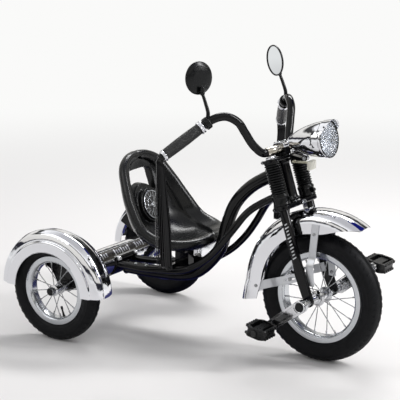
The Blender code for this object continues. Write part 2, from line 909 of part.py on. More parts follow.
def crank_solid():
    """Left crank: boss with a cap, channelled arm along +X, and the pedal's spindle."""
    ends = [(0.0, 0.0, CRANK_BOSS_R), (CRANK_THROW, 0.0, CRANK_END_R)]
    arm_out = CRANK_ARM_IN + CRANK_ARM_T
    arm = prism(hull(ends, 16), CRANK_ARM_IN, arm_out, "Y")
    boss = rod(CRANK_BOSS_R + MERGE, CRANK_BOSS_IN, CRANK_BOSS_OUT, 16, "Y")
    cap = rod(CRANK_CAP_R, arm_out, CRANK_BOSS_OUT + CRANK_CAP_H, 12, "Y")
    spindle = rod(SPINDLE_R, CRANK_ARM_IN + CRANK_ARM_T / 4, PEDAL_Y + PEDAL_LENGTH / 2 - SPINDLE_SHORT,
                  10, "Y")
    shifted(spindle, CRANK_THROW, 0.0, 0.0)
    pocket_start = CRANK_BOSS_R + CRANK_RAIL
    pocket_end = CRANK_THROW - CRANK_END_R
    pocket = hull([(pocket_start, 0.0, CRANK_END_R - CRANK_RAIL / 2),
                   (pocket_end, 0.0, CRANK_END_R - CRANK_RAIL)], 12)
    hollow = prism([p for p in pocket if p[0] > pocket_start - CRANK_RAIL],
                   CRANK_ARM_IN + CRANK_ARM_T / 2, CRANK_ARM_IN + 2 * CRANK_ARM_T, "Y")
    arm = cut(arm, hollow)
    socket = rod(bore(FRONT_AXLE_R, HUB_SIDES), CRANK_BOSS_IN - CRANK_WALL, CRANK_SOCKET_END + GAP,
                 HUB_SIDES, "Y")
    return cut(join(arm, boss, cap, spindle), socket)


def pedal_solid():
    """An open pedal body round its spindle tube, with ribbed treads front and back."""
    half_x = PEDAL_WIDTH / 2
    half_y = PEDAL_LENGTH / 2
    inside_y = half_y - PEDAL_END
    pitch = 2 * inside_y / PEDAL_RIBS
    front = []
    for i in range(PEDAL_RIBS):
        start = -inside_y + i * pitch
        front += [(half_x - PEDAL_GROOVE, start), (half_x, start + pitch / 4),
                  (half_x, start + 3 * pitch / 4), (half_x - PEDAL_GROOVE, start + pitch)]
    outline = [(half_x - PEDAL_CORNER, -half_y)] + front + [(half_x - PEDAL_CORNER, half_y)]
    outline += [(-x, -y) for x, y in outline]
    body = prism(outline, -PEDAL_T / 2, PEDAL_T / 2)
    windows = []
    for sign in (1, -1):
        near = sign * (PEDAL_TUBE_R + PEDAL_WEB)
        far = sign * (half_x - PEDAL_RIM)
        windows.append(box(min(near, far), max(near, far), -inside_y, inside_y, -PEDAL_T, PEDAL_T))
    windows.append(rod(bore(SPINDLE_R, 10), -PEDAL_LENGTH, PEDAL_LENGTH, 10, "Y"))
    trough_x = PEDAL_TUBE_R + PEDAL_TROUGH
    trough = box(-trough_x, trough_x, -inside_y, inside_y, PEDAL_TUBE_R, PEDAL_T)
    return cut(body, trough, *windows)


def build_front_wheel(steering):
    lead = (AXLE_LEAD * math.cos(RAKE_RAD), 0.0, -AXLE_LEAD * math.sin(RAKE_RAD))
    wheel = add_empty("front_wheel", steering, lead, pitch=RAKE)
    tyre = tyre_solid(FRONT_R, FRONT_TYRE_W, FRONT_FLANGE_R, FRONT_RIM_W / 2, FRONT_STEPS)
    rim = rim_solid(FRONT_FLANGE_R, FRONT_RIM_W / 2, FRONT_STEPS)
    add_part("front_tyre", tyre, rubber("front_tyre"), wheel)
    add_part("front_rim", rim, chrome("front_rim"), wheel)
    add_part("front_hub", front_hub_solid(), steel("front_hub"), wheel)
    for side, tag, angle in ((-1, "r", CRANK_ANGLE), (1, "l", CRANK_ANGLE - 180.0)):
        crank = pitched(on_side(crank_solid(), side), -angle)
        add_part("crank_" + tag, crank, steel("crank_" + tag), wheel)
        turned = math.radians(angle)
        place = (CRANK_THROW * math.cos(turned), side * PEDAL_Y, CRANK_THROW * math.sin(turned))
        pivot = add_empty("pedal_pivot_" + tag, wheel, place, pitch=PEDAL_PITCH)
        add_part("pedal_" + tag, on_side(pedal_solid(), side), rubber("pedal_" + tag), pivot)


# Frame

def beam_solid(inner, outer, half):
    return shifted(tube(inner, outer, -half, half, BEAM_SIDES, "Y"), BEAM_X, 0.0, BEAM_Z)


def beam_cutter(radius):
    return shifted(rod(over_flats(radius, 48), -REAR_TRACK, REAR_TRACK, 48, "Y"), BEAM_X, 0.0, BEAM_Z)


def saddle_solid():
    """A shell round the front of the beam."""
    inner = over_flats(BEAM_R + GAP, BEAM_SIDES)
    outer = BEAM_R + GAP + SADDLE_T
    steps = 11
    outline = arc((BEAM_X, BEAM_Z), outer, -SADDLE_WRAP, SADDLE_WRAP, steps)
    outline += arc((BEAM_X, BEAM_Z), inner, SADDLE_WRAP, -SADDLE_WRAP, steps)
    return prism(outline, -SADDLE_HALF, SADDLE_HALF, "Y")


def head_axis(bm):
    """Carry a solid from the steering axis's own frame to the frame of the drawing."""
    tilt = Matrix.Rotation(-RAKE_RAD, 4, "Y")
    return moved(bm, Matrix.Translation((STEER_X, 0.0, FRONT_R)) @ tilt)


def head_cutter():
    reach = 2 * MAIN_TUBE_R
    return head_axis(rod(over_flats(HEAD_R + GAP, 40), HEAD_LOW - reach, HEAD_HIGH + reach, 40))


def head_tube_solid():
    """The head tube with a bearing cup at each end."""
    hole = bore(STEERER_R, HEAD_SIDES)
    profile = [(hole, HEAD_LOW), (HEAD_CUP_R, HEAD_LOW), (HEAD_CUP_R, HEAD_LOW + HEAD_CUP_T),
               (HEAD_R, HEAD_LOW + HEAD_CUP_T), (HEAD_R, HEAD_HIGH - HEAD_CUP_T),
               (HEAD_CUP_R, HEAD_HIGH - HEAD_CUP_T), (HEAD_CUP_R, HEAD_HIGH), (hole, HEAD_HIGH)]
    return head_axis(revolve(profile, HEAD_SIDES))


def tube_ends_cut(bm):
    """Fit a tube's two ends to the head tube and to the saddle on the beam."""
    return cut(bm, head_cutter(), beam_cutter(BEAM_R + SADDLE_T + 2 * GAP))


def main_sweep(radius):
    return sweep(smooth_path(MAIN_PATH, 2), radius, TUBE_SIDES)


def lower_sweep(radius, side):
    path = LOWER_PATH if side > 0 else [mirrored(p) for p in LOWER_PATH]
    return sweep(smooth_path(path, 2), radius, LOWER_SIDES)


def rear_axle_solid():
    """The axle rod with a collar inside each wheel and a domed nut outside it."""
    plate_out = PLATE_Y + PLATE_T + GAP
    hub_in = REAR_TRACK - REAR_HUB_HALF - GAP
    hub_out = REAR_TRACK + REAR_HUB_HALF + GAP
    nut_out = hub_out + AXLE_NUT_LENGTH
    half = [(REAR_AXLE_R, 0.0), (REAR_AXLE_R, plate_out), (AXLE_COLLAR_R, plate_out),
            (AXLE_COLLAR_R, hub_in), (REAR_AXLE_R, hub_in), (REAR_AXLE_R, hub_out),
            (AXLE_NUT_R, hub_out), (AXLE_NUT_R, hub_out + AXLE_NUT_LENGTH / 2),
            (AXLE_NUT_DOME_R, nut_out - AXLE_NUT_LENGTH / 10), (0.0, nut_out)]
    return shifted(revolve(both_ways(half), 14, "Y"), 0.0, 0.0, REAR_R)


def plate_solid():
    """Left plate: a fan from the axle and the beam's end up to the fender's inner skirt."""
    front = math.radians(PLATE_FRONT)
    top = arc((0.0, 0.0), PLATE_REACH, PLATE_FRONT, PLATE_REAR, 8)
    foot = arc((0.0, 0.0), PLATE_FOOT_R, 205.0, 320.0, 6)
    beam_front = BEAM_X + BEAM_R + PLATE_AHEAD
    outline = foot + [(beam_front - PLATE_FOOT_R / 2, PLATE_LOW), (beam_front, PLATE_WAIST),
                      (beam_front, PLATE_SHOULDER),
                      (PLATE_REACH * math.cos(front), PLATE_REACH * math.sin(front) - PLATE_NECK)]
    outline += top + PLATE_TAIL
    plate = prism(outline, PLATE_Y, PLATE_Y + PLATE_T, "Y")
    hole = rod(bore(REAR_AXLE_R, 14), PLATE_Y - PLATE_T, PLATE_Y + 2 * PLATE_T, 14, "Y")
    return shifted(cut(plate, hole), 0.0, 0.0, REAR_R)


def rear_fender_solid():
    """Left fender: stepped outer skirt, round crown and inner skirt, about the wheel's centre."""
    line = [(FENDER_OUTER, FENDER_SKIRT_R), (FENDER_OUTER, FENDER_STEP_R),
            (FENDER_OUTER - FENDER_STEP, FENDER_STEP_R + FENDER_STEP_RISE / 6),
            (FENDER_OUTER - FENDER_STEP, FENDER_STEP_R + FENDER_STEP_RISE)]
    line += [(across, FENDER_R - below) for across, below in FENDER_CROWN]
    line += [(-FENDER_INNER, FENDER_R - FENDER_EDGE), (-FENDER_INNER, FENDER_INNER_R)]
    section = thicken(line, FENDER_WALL, -1.0)
    steps = 14
    rings = []
    for i in range(steps + 1):
        angle = math.radians(FENDER_END + (180.0 - 2 * FENDER_END) * i / steps)
        rings.append([Vector((r * math.cos(angle), y, r * math.sin(angle))) for y, r in section])
    return shifted(loft(rings), 0.0, REAR_TRACK, REAR_R)


def build_frame(root):
    hole = over_flats(BEAM_R - BEAM_WALL, BEAM_SIDES)
    add_part("axle_beam", beam_solid(hole, BEAM_R, BEAM_HALF), chrome("axle_beam"), root)
    add_part("axle_saddle", saddle_solid(), black_paint("axle_saddle"), root)
    add_part("head_tube", head_tube_solid(), black_paint("head_tube"), root)
    add_part("main_tube", tube_ends_cut(main_sweep(MAIN_TUBE_R)), black_paint("main_tube"), root)
    add_part("rear_axle", rear_axle_solid(), steel("rear_axle"), root)
    for side, tag in ((-1, "r"), (1, "l")):
        lower = tube_ends_cut(lower_sweep(LOWER_TUBE_R, side))
        add_part("lower_tube_" + tag, lower, black_paint("lower_tube_" + tag), root)
        plate = on_side(plate_solid(), side)
        add_part("fender_plate_" + tag, plate, black_paint("fender_plate_" + tag), root)
        fender = on_side(rear_fender_solid(), side)
        add_part("rear_fender_" + tag, fender, chrome("rear_fender_" + tag), root)


# Seat

def seat_rows():
    """Points on the middle of the shell: rows from the back's top to the front lip."""
    rim = smooth_path(SEAT_RIM, 2)
    spine = smooth_path(SEAT_SPINE, 2)
    rows = []
    for edge, middle in zip(rim, spine):
        reach = max((edge - middle).length, MERGE)
        shrink = min(1.0, reach / SEAT_T)
        near = [0.0]
        for degrees in (30.0, 60.0, 90.0):
            near.append(SEAT_T / 2 * (1 - math.cos(math.radians(degrees))) * shrink)
        inner = 1.0 - near[-1] / reach
        ranks = [1.0 - d / reach for d in near] + [inner * 0.68, inner * 0.36]
        lift = [0.0, 0.5, math.sqrt(0.75), 1.0, 1.0, 1.0]
        half = []
        for v, h in zip(ranks, lift):
            half.append((seat_point(edge, middle, v), h))
        row = [(mirrored(p), h) for p, h in half]
        row.append((seat_point(edge, middle, 0.0), 1.0))
        row += half[::-1]
        rows.append(row)
    return rows


def seat_point(edge, middle, v):
    """A point of one cross section, v of the way from its middle to its rim."""
    blend = 1.0 - abs(v) ** 3
    return Vector((edge.x + (middle.x - edge.x) * blend, edge.y * v,
                   edge.z + (middle.z - edge.z) * blend))


def seat_shell():
    """The bucket: a shell of even thickness with a round rim."""
    rows = seat_rows()
    last = len(rows) - 1
    rings = []
    for i, row in enumerate(rows):
        end = rows[0] if i < last / 2 else rows[last]
        middle = len(row) // 2
        inset = min((row[middle][0] - end[middle][0]).length / (SEAT_T / 2), 1.0)
        swell = math.sqrt(max(1.0 - (1.0 - inset) ** 2, 0.0))
        above = rows[max(i - 1, 0)]
        below = rows[min(i + 1, last)]
        top = []
        bottom = []
        for j, (point, h) in enumerate(row):
            along = below[j][0] - above[j][0]
            across = row[min(j + 1, len(row) - 1)][0] - row[max(j - 1, 0)][0]
            normal = along.cross(across)
            if normal.length > 0:
                normal.normalize()
            offset = normal * (SEAT_T / 2 * h * swell)
            top.append(point + offset)
            bottom.append(point - offset)
        rings.append(top + bottom[-2:0:-1])
    return loft(rings)


def badge_place(bm):
    """Carry a solid from its own Z axis to the badge's axis on the seat's back."""
    lean = math.radians(BADGE_LEAN)
    return aimed(bm, (BADGE_X, 0.0, BADGE_Z), (math.cos(lean), 0.0, math.sin(lean)))


def hand_hole():
    """The hole above the badge: straight sides, round top corners and an arched foot."""
    foot = math.degrees(math.acos(HOLE_HALF / BADGE_ARCH_R))
    r = HOLE_CORNER_R
    corner_z = BADGE_Z + HOLE_RISE - r
    outline = arc((0.0, BADGE_Z), BADGE_ARCH_R, 180.0 - foot, foot, 10)
    outline += arc((HOLE_HALF - r, corner_z), r, 0.0, 90.0, 4)
    outline += arc((-HOLE_HALF + r, corner_z), r, 90.0, 180.0, 4)
    return prism(outline, BADGE_X - HOLE_BACK, BADGE_X + HOLE_FRONT, "X")


def seat_underside():
    """The height of the flat foot moulded under the seat, at the shell's lowest line."""
    return min(p.z for p in smooth_path(SEAT_SPINE, 2)) - SEAT_T / 2


def seat_foot(low, high, half):
    """A block as long as the seat's pad: the foot, or the pad that it rests on."""
    return box(SEAT_PAD_X - SEAT_PAD_LENGTH / 2, SEAT_PAD_X + SEAT_PAD_LENGTH / 2, -half, half, low, high)


def seat_solid():
    boss = badge_place(rod(BOSS_R, -SEAT_T / 2, BOSS_H, 24))
    foot = seat_foot(seat_underside(), seat_underside() + SEAT_T / 2, SEAT_PAD_HALF)
    return join(cut(seat_shell(), hand_hole()), boss, foot)


def badge_solid():
    """A disc with a raised rim on the seat's boss."""
    edge = BADGE_R - BADGE_RIM
    profile = [(0.0, BOSS_H + GAP), (BADGE_R, BOSS_H + GAP), (BADGE_R, BOSS_H + 0.8 * BADGE_T),
               (edge + 2 * BADGE_RIM / 3, BOSS_H + BADGE_T), (edge + BADGE_RIM / 6, BOSS_H + BADGE_T),
               (edge, BOSS_H + BADGE_FACE), (0.0, BOSS_H + BADGE_FACE)]
    return badge_place(revolve(profile, 20))


def seat_bracket_solid():
    """A pad under the seat, a leg on the fat tube and a bar across to the thin tubes."""
    top = seat_underside() - GAP
    x0 = SEAT_PAD_X - SEAT_PAD_LENGTH / 2
    x1 = SEAT_PAD_X + SEAT_PAD_LENGTH / 2
    pad = seat_foot(top - SEAT_PAD_T, top, SEAT_PAD_HALF)
    leg = box(x0 + SEAT_LEG_INSET, x1 - SEAT_LEG_INSET, -SEAT_LEG_HALF, SEAT_LEG_HALF,
              path_point(MAIN_PATH, SEAT_PAD_X).z, top - SEAT_PAD_T / 2)
    thin = path_point(LOWER_PATH, SEAT_PAD_X)
    bar_y = thin.y + SEAT_BAR_REACH
    bar_z = thin.z + SEAT_BAR_LIFT
    bar = box(SEAT_PAD_X - SEAT_BAR_T / 2, SEAT_PAD_X + SEAT_BAR_T / 2, -bar_y, bar_y,
              bar_z, bar_z + SEAT_BAR_H)
    body = join(pad, leg, bar)
    return cut(body, main_sweep(MAIN_TUBE_R + GAP), lower_sweep(LOWER_TUBE_R + GAP, 1),
               lower_sweep(LOWER_TUBE_R + GAP, -1))


def path_point(path, x):
    """The point of a tube's centre line that lies nearest to a place along the tricycle."""
    return min(smooth_path(path, 8), key=lambda point: abs(point.x - x))


def build_seat(root):
    add_part("seat", seat_solid(), black_plastic("seat"), root)
    add_part("seat_badge", badge_solid(), steel("seat_badge"), root)
    add_part("seat_bracket", seat_bracket_solid(), black_paint("seat_bracket"), root)


# Fork, drawn in the steering axis's own frame

def crown_outline(radius):
    return hull([(0.0, 0.0, CROWN_MID_R), (LEG_AHEAD, LEG_Y, radius), (LEG_AHEAD, -LEG_Y, radius)], 16)


def crown_holes(low, high):
    holes = [rod(bore(STEERER_R, HEAD_SIDES), low, high, HEAD_SIDES)]
    for side in (1, -1):
        hole = rod(bore(STANCHION_R, LEG_SIDES), low, high, LEG_SIDES)
        holes.append(shifted(hole, LEG_AHEAD, side * LEG_Y, 0.0))
    return holes


def crown_bottom_solid():
    plate = prism(crown_outline(CROWN_LOW_R), CROWN_LOW_Z, CROWN_LOW_TOP)
    cups = []
    for side in (1, -1):
        cup = rod(CUP_R, CROWN_LOW_Z + CROWN_LOW_T / 2, CROWN_LOW_TOP + CUP_H, HEAD_SIDES)
        cups.append(shifted(cup, LEG_AHEAD, side * LEG_Y, 0.0))
    return cut(join(plate, *cups), *crown_holes(CROWN_LOW_Z - GAP, CROWN_LOW_TOP + CUP_H + GAP))


def crown_top_solid():
    plate = prism(crown_outline(CROWN_HIGH_R), CROWN_HIGH_Z, CROWN_HIGH_TOP)
    return cut(plate, *crown_holes(CROWN_HIGH_Z - GAP, CROWN_HIGH_TOP + GAP))


def leg_solid():
    """Left leg: lower tube, stanchion up through both crowns, cap, and the dropout."""
    shoulder = CROWN_LOW_Z - GAP
    cap_low = CROWN_HIGH_TOP + GAP
    profile = [(0.0, LEG_LOW), (LEG_R, LEG_LOW), (LEG_R, shoulder), (STANCHION_R, shoulder),
               (STANCHION_R, cap_low), (CAP_R, cap_low), (CAP_R, cap_low + CAP_H - CAP_EDGE),
               (CAP_R - CAP_EDGE, cap_low + CAP_H), (0.0, cap_low + CAP_H)]
    shaft = shifted(revolve(profile, LEG_SIDES), LEG_AHEAD, LEG_Y, 0.0)
    axle_x = AXLE_LEAD * math.cos(RAKE_RAD)
    axle_z = -AXLE_LEAD * math.sin(RAKE_RAD)
    ends = [(axle_x, axle_z, DROPOUT_R), (LEG_AHEAD, DROPOUT_TOP, DROPOUT_TOP_R),
            (LEG_AHEAD, DROPOUT_TOP + DROPOUT_NECK, LEG_R)]
    inner = LEG_Y - DROPOUT_T / 2
    outer = LEG_Y + DROPOUT_T / 2
    dropout = prism(hull(ends, 16), inner, outer, "Y")
    hole = rod(bore(FRONT_AXLE_R, HUB_SIDES), inner - DROPOUT_T, outer + DROPOUT_T, HUB_SIDES, "Y")
    return cut(join(shaft, dropout), shifted(hole, axle_x, 0.0, axle_z))


def gaiter_solid():
    """Left gaiter: ribs outside, a wide bore inside and a lip on the stanchion at each end."""
    pitch = (GAITER_HIGH - GAITER_LOW) / GAITER_RIBS
    outer = []
    for i in range(GAITER_RIBS):
        low = GAITER_LOW + i * pitch
        outer += [(GAITER_VALLEY_R, low), (GAITER_CREST_R, low + pitch / 2)]
    outer.append((GAITER_VALLEY_R, GAITER_HIGH))
    lip = bore(over_flats(STANCHION_R, LEG_SIDES), GAITER_STEPS)
    inside = [(lip, GAITER_HIGH), (lip, GAITER_HIGH - GAITER_LIP),
              (GAITER_BORE_R, GAITER_HIGH - GAITER_LIP), (GAITER_BORE_R, GAITER_LOW + GAITER_LIP),
              (lip, GAITER_LOW + GAITER_LIP), (lip, GAITER_LOW)]
    return shifted(revolve(outer + inside, GAITER_STEPS), LEG_AHEAD, LEG_Y, 0.0)


def steerer_solid():
    return rod(STEERER_R, CROWN_LOW_Z, CROWN_HIGH_TOP, HEAD_SIDES)


def stem_outline(low, high, chamfer_low, chamfer_high):
    left = BAR_AHEAD - STEM_HALF_X
    right = BAR_AHEAD + STEM_HALF_X
    return [(left + chamfer_low, low), (right - chamfer_low, low), (right, low + chamfer_low),
            (right, high - chamfer_high), (right - chamfer_high, high), (left + chamfer_high, high),
            (left, high - chamfer_high), (left, low + chamfer_low)]


def bar_in_fork(radius):
    """The handlebar's middle as a straight rod in the fork's frame, for cutting its clamp."""
    reach = 2 * STEM_HALF_Y
    return shifted(rod(bore(radius, 24), -reach, reach, 24, "Y"), BAR_AHEAD, 0.0, BAR_HIGH)


def stem_solid():
    low = CROWN_HIGH_TOP + GAP
    outline = stem_outline(low, BAR_HIGH - GAP / 2, STEM_FOOT_EDGE, STEM_SPLIT_EDGE)
    block = prism(outline, -STEM_HALF_Y, STEM_HALF_Y, "Y")
    return cut(block, bar_in_fork(BAR_R))


def stem_cap_solid():
    top = BAR_HIGH + STEM_UPPER
    outline = stem_outline(BAR_HIGH + GAP / 2, top, STEM_SPLIT_EDGE, STEM_TOP_EDGE)
    cap = prism(outline, -STEM_HALF_Y, STEM_HALF_Y, "Y")
    return cut(cap, bar_in_fork(BAR_R))


def build_fork(steering):
    add_part("steerer", steerer_solid(), steel("steerer"), steering)
    add_part("crown_bottom", crown_bottom_solid(), black_paint("crown_bottom"), steering)
    add_part("crown_top", crown_top_solid(), black_paint("crown_top"), steering)
    add_part("stem", stem_solid(), black_paint("stem"), steering)
    add_part("stem_cap", stem_cap_solid(), chrome("stem_cap"), steering)
    for side, tag in ((-1, "r"), (1, "l")):
        add_part("leg_" + tag, on_side(leg_solid(), side), black_paint("leg_" + tag), steering)
        add_part("gaiter_" + tag, on_side(gaiter_solid(), side), rubber("gaiter_" + tag), steering)


# Handlebar and what it carries, drawn upright about the middle of the stem clamp

def bar_sweep(radius):
    bend = smooth_path(BAR_BEND + [GRIP_START - GRIP_AIM * RING_LENGTH], 2)
    end = GRIP_START + GRIP_AIM * (GRIP_LENGTH + RING_LENGTH / 2)
    left = bend + [end]
    path = [mirrored(p) for p in left[::-1]] + left
    return sweep(path, radius, BAR_SIDES)


def on_grip(bm, along):
    """Set a solid's Z axis on the left grip's axis, so far past the grip's inner ring."""
    return aimed(bm, GRIP_START + GRIP_AIM * along, GRIP_AIM)


def inner_ring_solid():
    half = RING_LENGTH / 2
    hole = bore(BAR_R, 16)
    profile = [(hole, -half), (RING_R, -half), (RING_R, -0.3 * half), (GRIP_R, 0.0),
               (RING_R, 0.3 * half), (RING_R, half), (hole, half)]
    return on_grip(revolve(profile, 16), 0.0)


def grip_solid():
    """A grip that swells a little in the middle."""
    start = RING_LENGTH / 2 + GAP
    hole = bore(BAR_R, 16)
    outer = []
    for i in range(4):
        swell = GRIP_SWELL * math.sin(math.pi * i / 3)
        outer.append((GRIP_R - GRIP_EASE + swell, GRIP_LENGTH * i / 3))
    return on_grip(revolve([(hole, 0.0)] + outer + [(hole, GRIP_LENGTH)], 16), start)


def end_ring_solid():
    """The flange at the grip's end, open where the tassel plugs in."""
    start = RING_LENGTH / 2 + GRIP_LENGTH + 2 * GAP
    hole = bore(PLUG_R, 16)
    profile = [(hole, 0.0), (END_RING_R, 0.0), (END_RING_R, 0.6 * END_RING_LENGTH),
               (0.86 * END_RING_R, END_RING_LENGTH), (hole, END_RING_LENGTH)]
    return on_grip(revolve(profile, 16), start)


def tassel_solid():
    """A plug in the grip's end, a small block outside it and strips that hang from the block."""
    start = RING_LENGTH / 2 + GRIP_LENGTH + 2 * GAP
    reach = END_RING_LENGTH + TASSEL_STAND
    plug = on_grip(rod(PLUG_R, GAP, reach, 12), start)
    outside = GRIP_START + GRIP_AIM * (start + reach - STRAND_T)
    pitch_x = STRAND_W + STRAND_GAP_X
    pitch_y = STRAND_T + STRAND_GAP_Y
    half_x = pitch_x * (STRAND_COLUMNS - 1) / 2 + STRAND_W / 2 + TASSEL_EDGE
    half_y = pitch_y * (STRAND_ROWS - 1) / 2 + STRAND_T / 2 + TASSEL_EDGE
    neck_x = half_x * TASSEL_NECK
    top = outside.z + TASSEL_TOP
    block = box(outside.x - neck_x, outside.x + neck_x, outside.y - half_y, outside.y + half_y,
                top - TASSEL_BLOCK_H, top)
    spread = prism([(-neck_x, 0.0), (neck_x, 0.0), (half_x, -TASSEL_FLARE_LOW),
                    (half_x, -TASSEL_FLARE_END), (-half_x, -TASSEL_FLARE_END),
                    (-half_x, -TASSEL_FLARE_LOW)], -half_y, half_y, "Y")
    shifted(spread, outside.x, outside.y, top - TASSEL_BLOCK_H / 2)
    strips = []
    for column in range(STRAND_COLUMNS):
        for row in range(STRAND_ROWS):
            x = outside.x + pitch_x * (column - (STRAND_COLUMNS - 1) / 2)
            y = outside.y + pitch_y * (row - (STRAND_ROWS - 1) / 2)
            ease = STRAND_EASE * ((column + row) % 3)
            strips.append(box(x - STRAND_W / 2, x + STRAND_W / 2, y - STRAND_T / 2, y + STRAND_T / 2,
                              outside.z - TASSEL_DROP + ease, top - TASSEL_FLARE_END))
    return join(plug, block, spread, *strips)


def mirror_arm_solid():
    """A clamp round the bar, a bent stem and the pin that the mirror turns on."""
    ring = rod(MIRROR_CLAMP_R, -MIRROR_CLAMP_W / 2, MIRROR_CLAMP_W / 2, 14)
    ring = aimed(ring, MIRROR_CLAMP, GRIP_AIM)
    stem = sweep(smooth_path(MIRROR_PATH, 2), MIRROR_STEM_R, 8, MIRROR_STEM_TAPER)
    top = Vector(MIRROR_PATH[-1])
    lower = arc((0.0, 0.0), BALL_R, -90.0, 0.0, 2)
    ball = aimed(revolve(lower + [(BALL_R, BALL_TOP), (0.0, BALL_TOP)], 10), top, (0.0, 0.0, 1.0))
    pin = aimed(rod(PIN_R, 0.0, BALL_TOP + PIN_LENGTH, 12), top, (0.0, 0.0, 1.0))
    return cut(join(ring, stem, ball, pin), bar_sweep(BAR_R + GAP))


def mirror_head_solid():
    """Backing dish and the knuckle on the arm's pin, drawn about the pin, back towards +X."""
    rim = MIRROR_R
    profile = [(0.0, 0.55 * MIRROR_T), (0.5 * rim, 0.52 * MIRROR_T), (0.88 * rim, 0.3 * MIRROR_T),
               (rim, -0.05 * MIRROR_T), (rim, -0.45 * MIRROR_T), (rim - MIRROR_EDGE, -0.45 * MIRROR_T),
               (rim - MIRROR_EDGE, -MIRROR_SEAT), (0.0, -MIRROR_SEAT)]
    dish = pitched(revolve(profile, 20, "X"), -MIRROR_TILT)
    shifted(dish, -MIRROR_BACK, 0.0, MIRROR_UP)
    low = BALL_TOP + GAP
    knuckle = rod(KNUCKLE_R, low, BALL_TOP + PIN_LENGTH + KNUCKLE_TOP, 12)
    neck = box(-MIRROR_BACK + NECK_INSET, 0.0, -NECK_HALF, NECK_HALF, low + NECK_INSET / 2,
               BALL_TOP + PIN_LENGTH)
    hole = rod(bore(PIN_R, 12), -PIN_LENGTH, BALL_TOP + PIN_LENGTH + GAP, 12)
    return cut(join(dish, knuckle, neck), hole)


def mirror_glass_solid():
    radius = MIRROR_R - MIRROR_EDGE - GAP
    face = -MIRROR_SEAT - GAP
    disc = rod(radius, face - MIRROR_GLASS_T, face, 20, "X")
    return shifted(pitched(disc, -MIRROR_TILT), -MIRROR_BACK, 0.0, MIRROR_UP)


def build_bar(steering):
    bar = add_empty("bar_middle", steering, (BAR_AHEAD, 0.0, BAR_HIGH), pitch=RAKE)
    add_part("handlebar", bar_sweep(BAR_R), black_paint("handlebar"), bar)
    for side, tag, yaw in ((-1, "r", MIRROR_YAW_R), (1, "l", MIRROR_YAW_L)):
        ring = on_side(inner_ring_solid(), side)
        add_part("ring_" + tag + "_in", ring, chrome("ring_" + tag + "_in"), bar)
        add_part("grip_" + tag, on_side(grip_solid(), side), rubber("grip_" + tag), bar)
        end = on_side(end_ring_solid(), side)
        add_part("ring_" + tag + "_out", end, chrome("ring_" + tag + "_out"), bar)
        tassel = on_side(tassel_solid(), side)
        add_part("tassel_" + tag, tassel, black_plastic("tassel_" + tag), bar)
        arm = on_side(mirror_arm_solid(), side)
        add_part("mirror_arm_" + tag, arm, black_paint("mirror_arm_" + tag), bar)
        top = MIRROR_PATH[-1]
        pivot = add_empty("mirror_" + tag, bar, (top[0], side * top[1], top[2]), yaw=yaw)
        head = mirror_head_solid()
        add_part("mirror_head_" + tag, head, black_plastic("mirror_head_" + tag), pivot)
        glass = mirror_glass_solid()
        add_part("mirror_glass_" + tag, glass, mirror_glass("mirror_glass_" + tag), pivot)


# Lamp, reflector and their bracket

def pivot_in_fork():
    """The lamp's pivot as (ahead, along) in the steering axis's own frame."""
    x = LAMP_PIVOT_X - STEER_X
    z = LAMP_PIVOT_Z - FRONT_R
    return (x * math.cos(RAKE_RAD) + z * math.sin(RAKE_RAD),
            z * math.cos(RAKE_RAD) - x * math.sin(RAKE_RAD))


def lamp_bracket_solid():
    """A pad on the upper crown, an arm to two ears with the pin, and the reflector's tab."""
    px, pz = pivot_in_fork()
    face = CROWN_FACE + GAP
    pad = box(face, face + BRACKET_PAD_T, -BRACKET_PAD_HALF, BRACKET_PAD_HALF,
              CROWN_HIGH_Z - BRACKET_PAD_DROP, CROWN_HIGH_TOP)
    inside = face + BRACKET_PAD_T / 3
    end = px - LUG_R - BRACKET_PAD_T / 2
    arm = prism([(inside, CROWN_HIGH_Z), (end, pz - LUG_R + 0.001), (end, pz + 0.003),
                 (inside, CROWN_HIGH_Z + BRACKET_ARM_H)], -BRACKET_HALF, BRACKET_HALF, "Y")
    ears = []
    for side in (1, -1):
        near = side * (LUG_T / 2 + GAP)
        far = side * (LUG_T / 2 + GAP + EAR_T)
        outline = hull([(px, pz, LUG_R), (px - LUG_R - EAR_BACK, pz, EAR_BACK_R)], 16)
        ears.append(prism(outline, min(near, far), max(near, far), "Y"))
    pin = rod(LAMP_PIN_R, -LUG_T / 2 - GAP - EAR_T / 2, LUG_T / 2 + GAP + EAR_T / 2, 14, "Y")
    shifted(pin, px, 0.0, pz)
    rx, rz = reflector_back()
    up = Vector((math.sin(RAKE_RAD), math.cos(RAKE_RAD)))
    behind = rx - TAB_T / 2 - GAP
    foot = (behind - up.x * TAB_BELOW, rz - up.y * TAB_BELOW)
    head = (behind + up.x * TAB_ABOVE, rz + up.y * TAB_ABOVE)
    middle = face + BRACKET_PAD_T / 2
    line = [(middle, CROWN_HIGH_Z - TAB_START), (middle, CROWN_HIGH_Z - TAB_BEND),
            (face + TAB_OUT, foot[1] + TAB_BELOW / 2), foot, head]
    tab = prism(centred(line, TAB_T), -TAB_HALF, TAB_HALF, "Y")
    return join(pad, arm, tab, pin, *ears)


def reflector_back():
    """The middle of the reflector's back, as (ahead, along)."""
    px, pz = pivot_in_fork()
    return px + REFLECTOR_AHEAD, pz - REFLECTOR_BELOW


def reflector_solid():
    """A block with chamfered front edges, upright in front of its tab."""
    w = REFLECTOR_W / 2
    h = REFLECTOR_H / 2
    edge = REFLECTOR_EDGE
    back = [(-w, -h), (w, -h), (w, h), (-w, h)]
    front = [(-w + edge, -h + edge), (w - edge, -h + edge), (w - edge, h - edge), (-w + edge, h - edge)]
    rings = [[stand(p, GAP, "X") for p in back], [stand(p, REFLECTOR_T - edge, "X") for p in back],
             [stand(p, REFLECTOR_T, "X") for p in front]]
    rx, rz = reflector_back()
    return shifted(pitched(loft(rings), RAKE), rx, 0.0, rz)


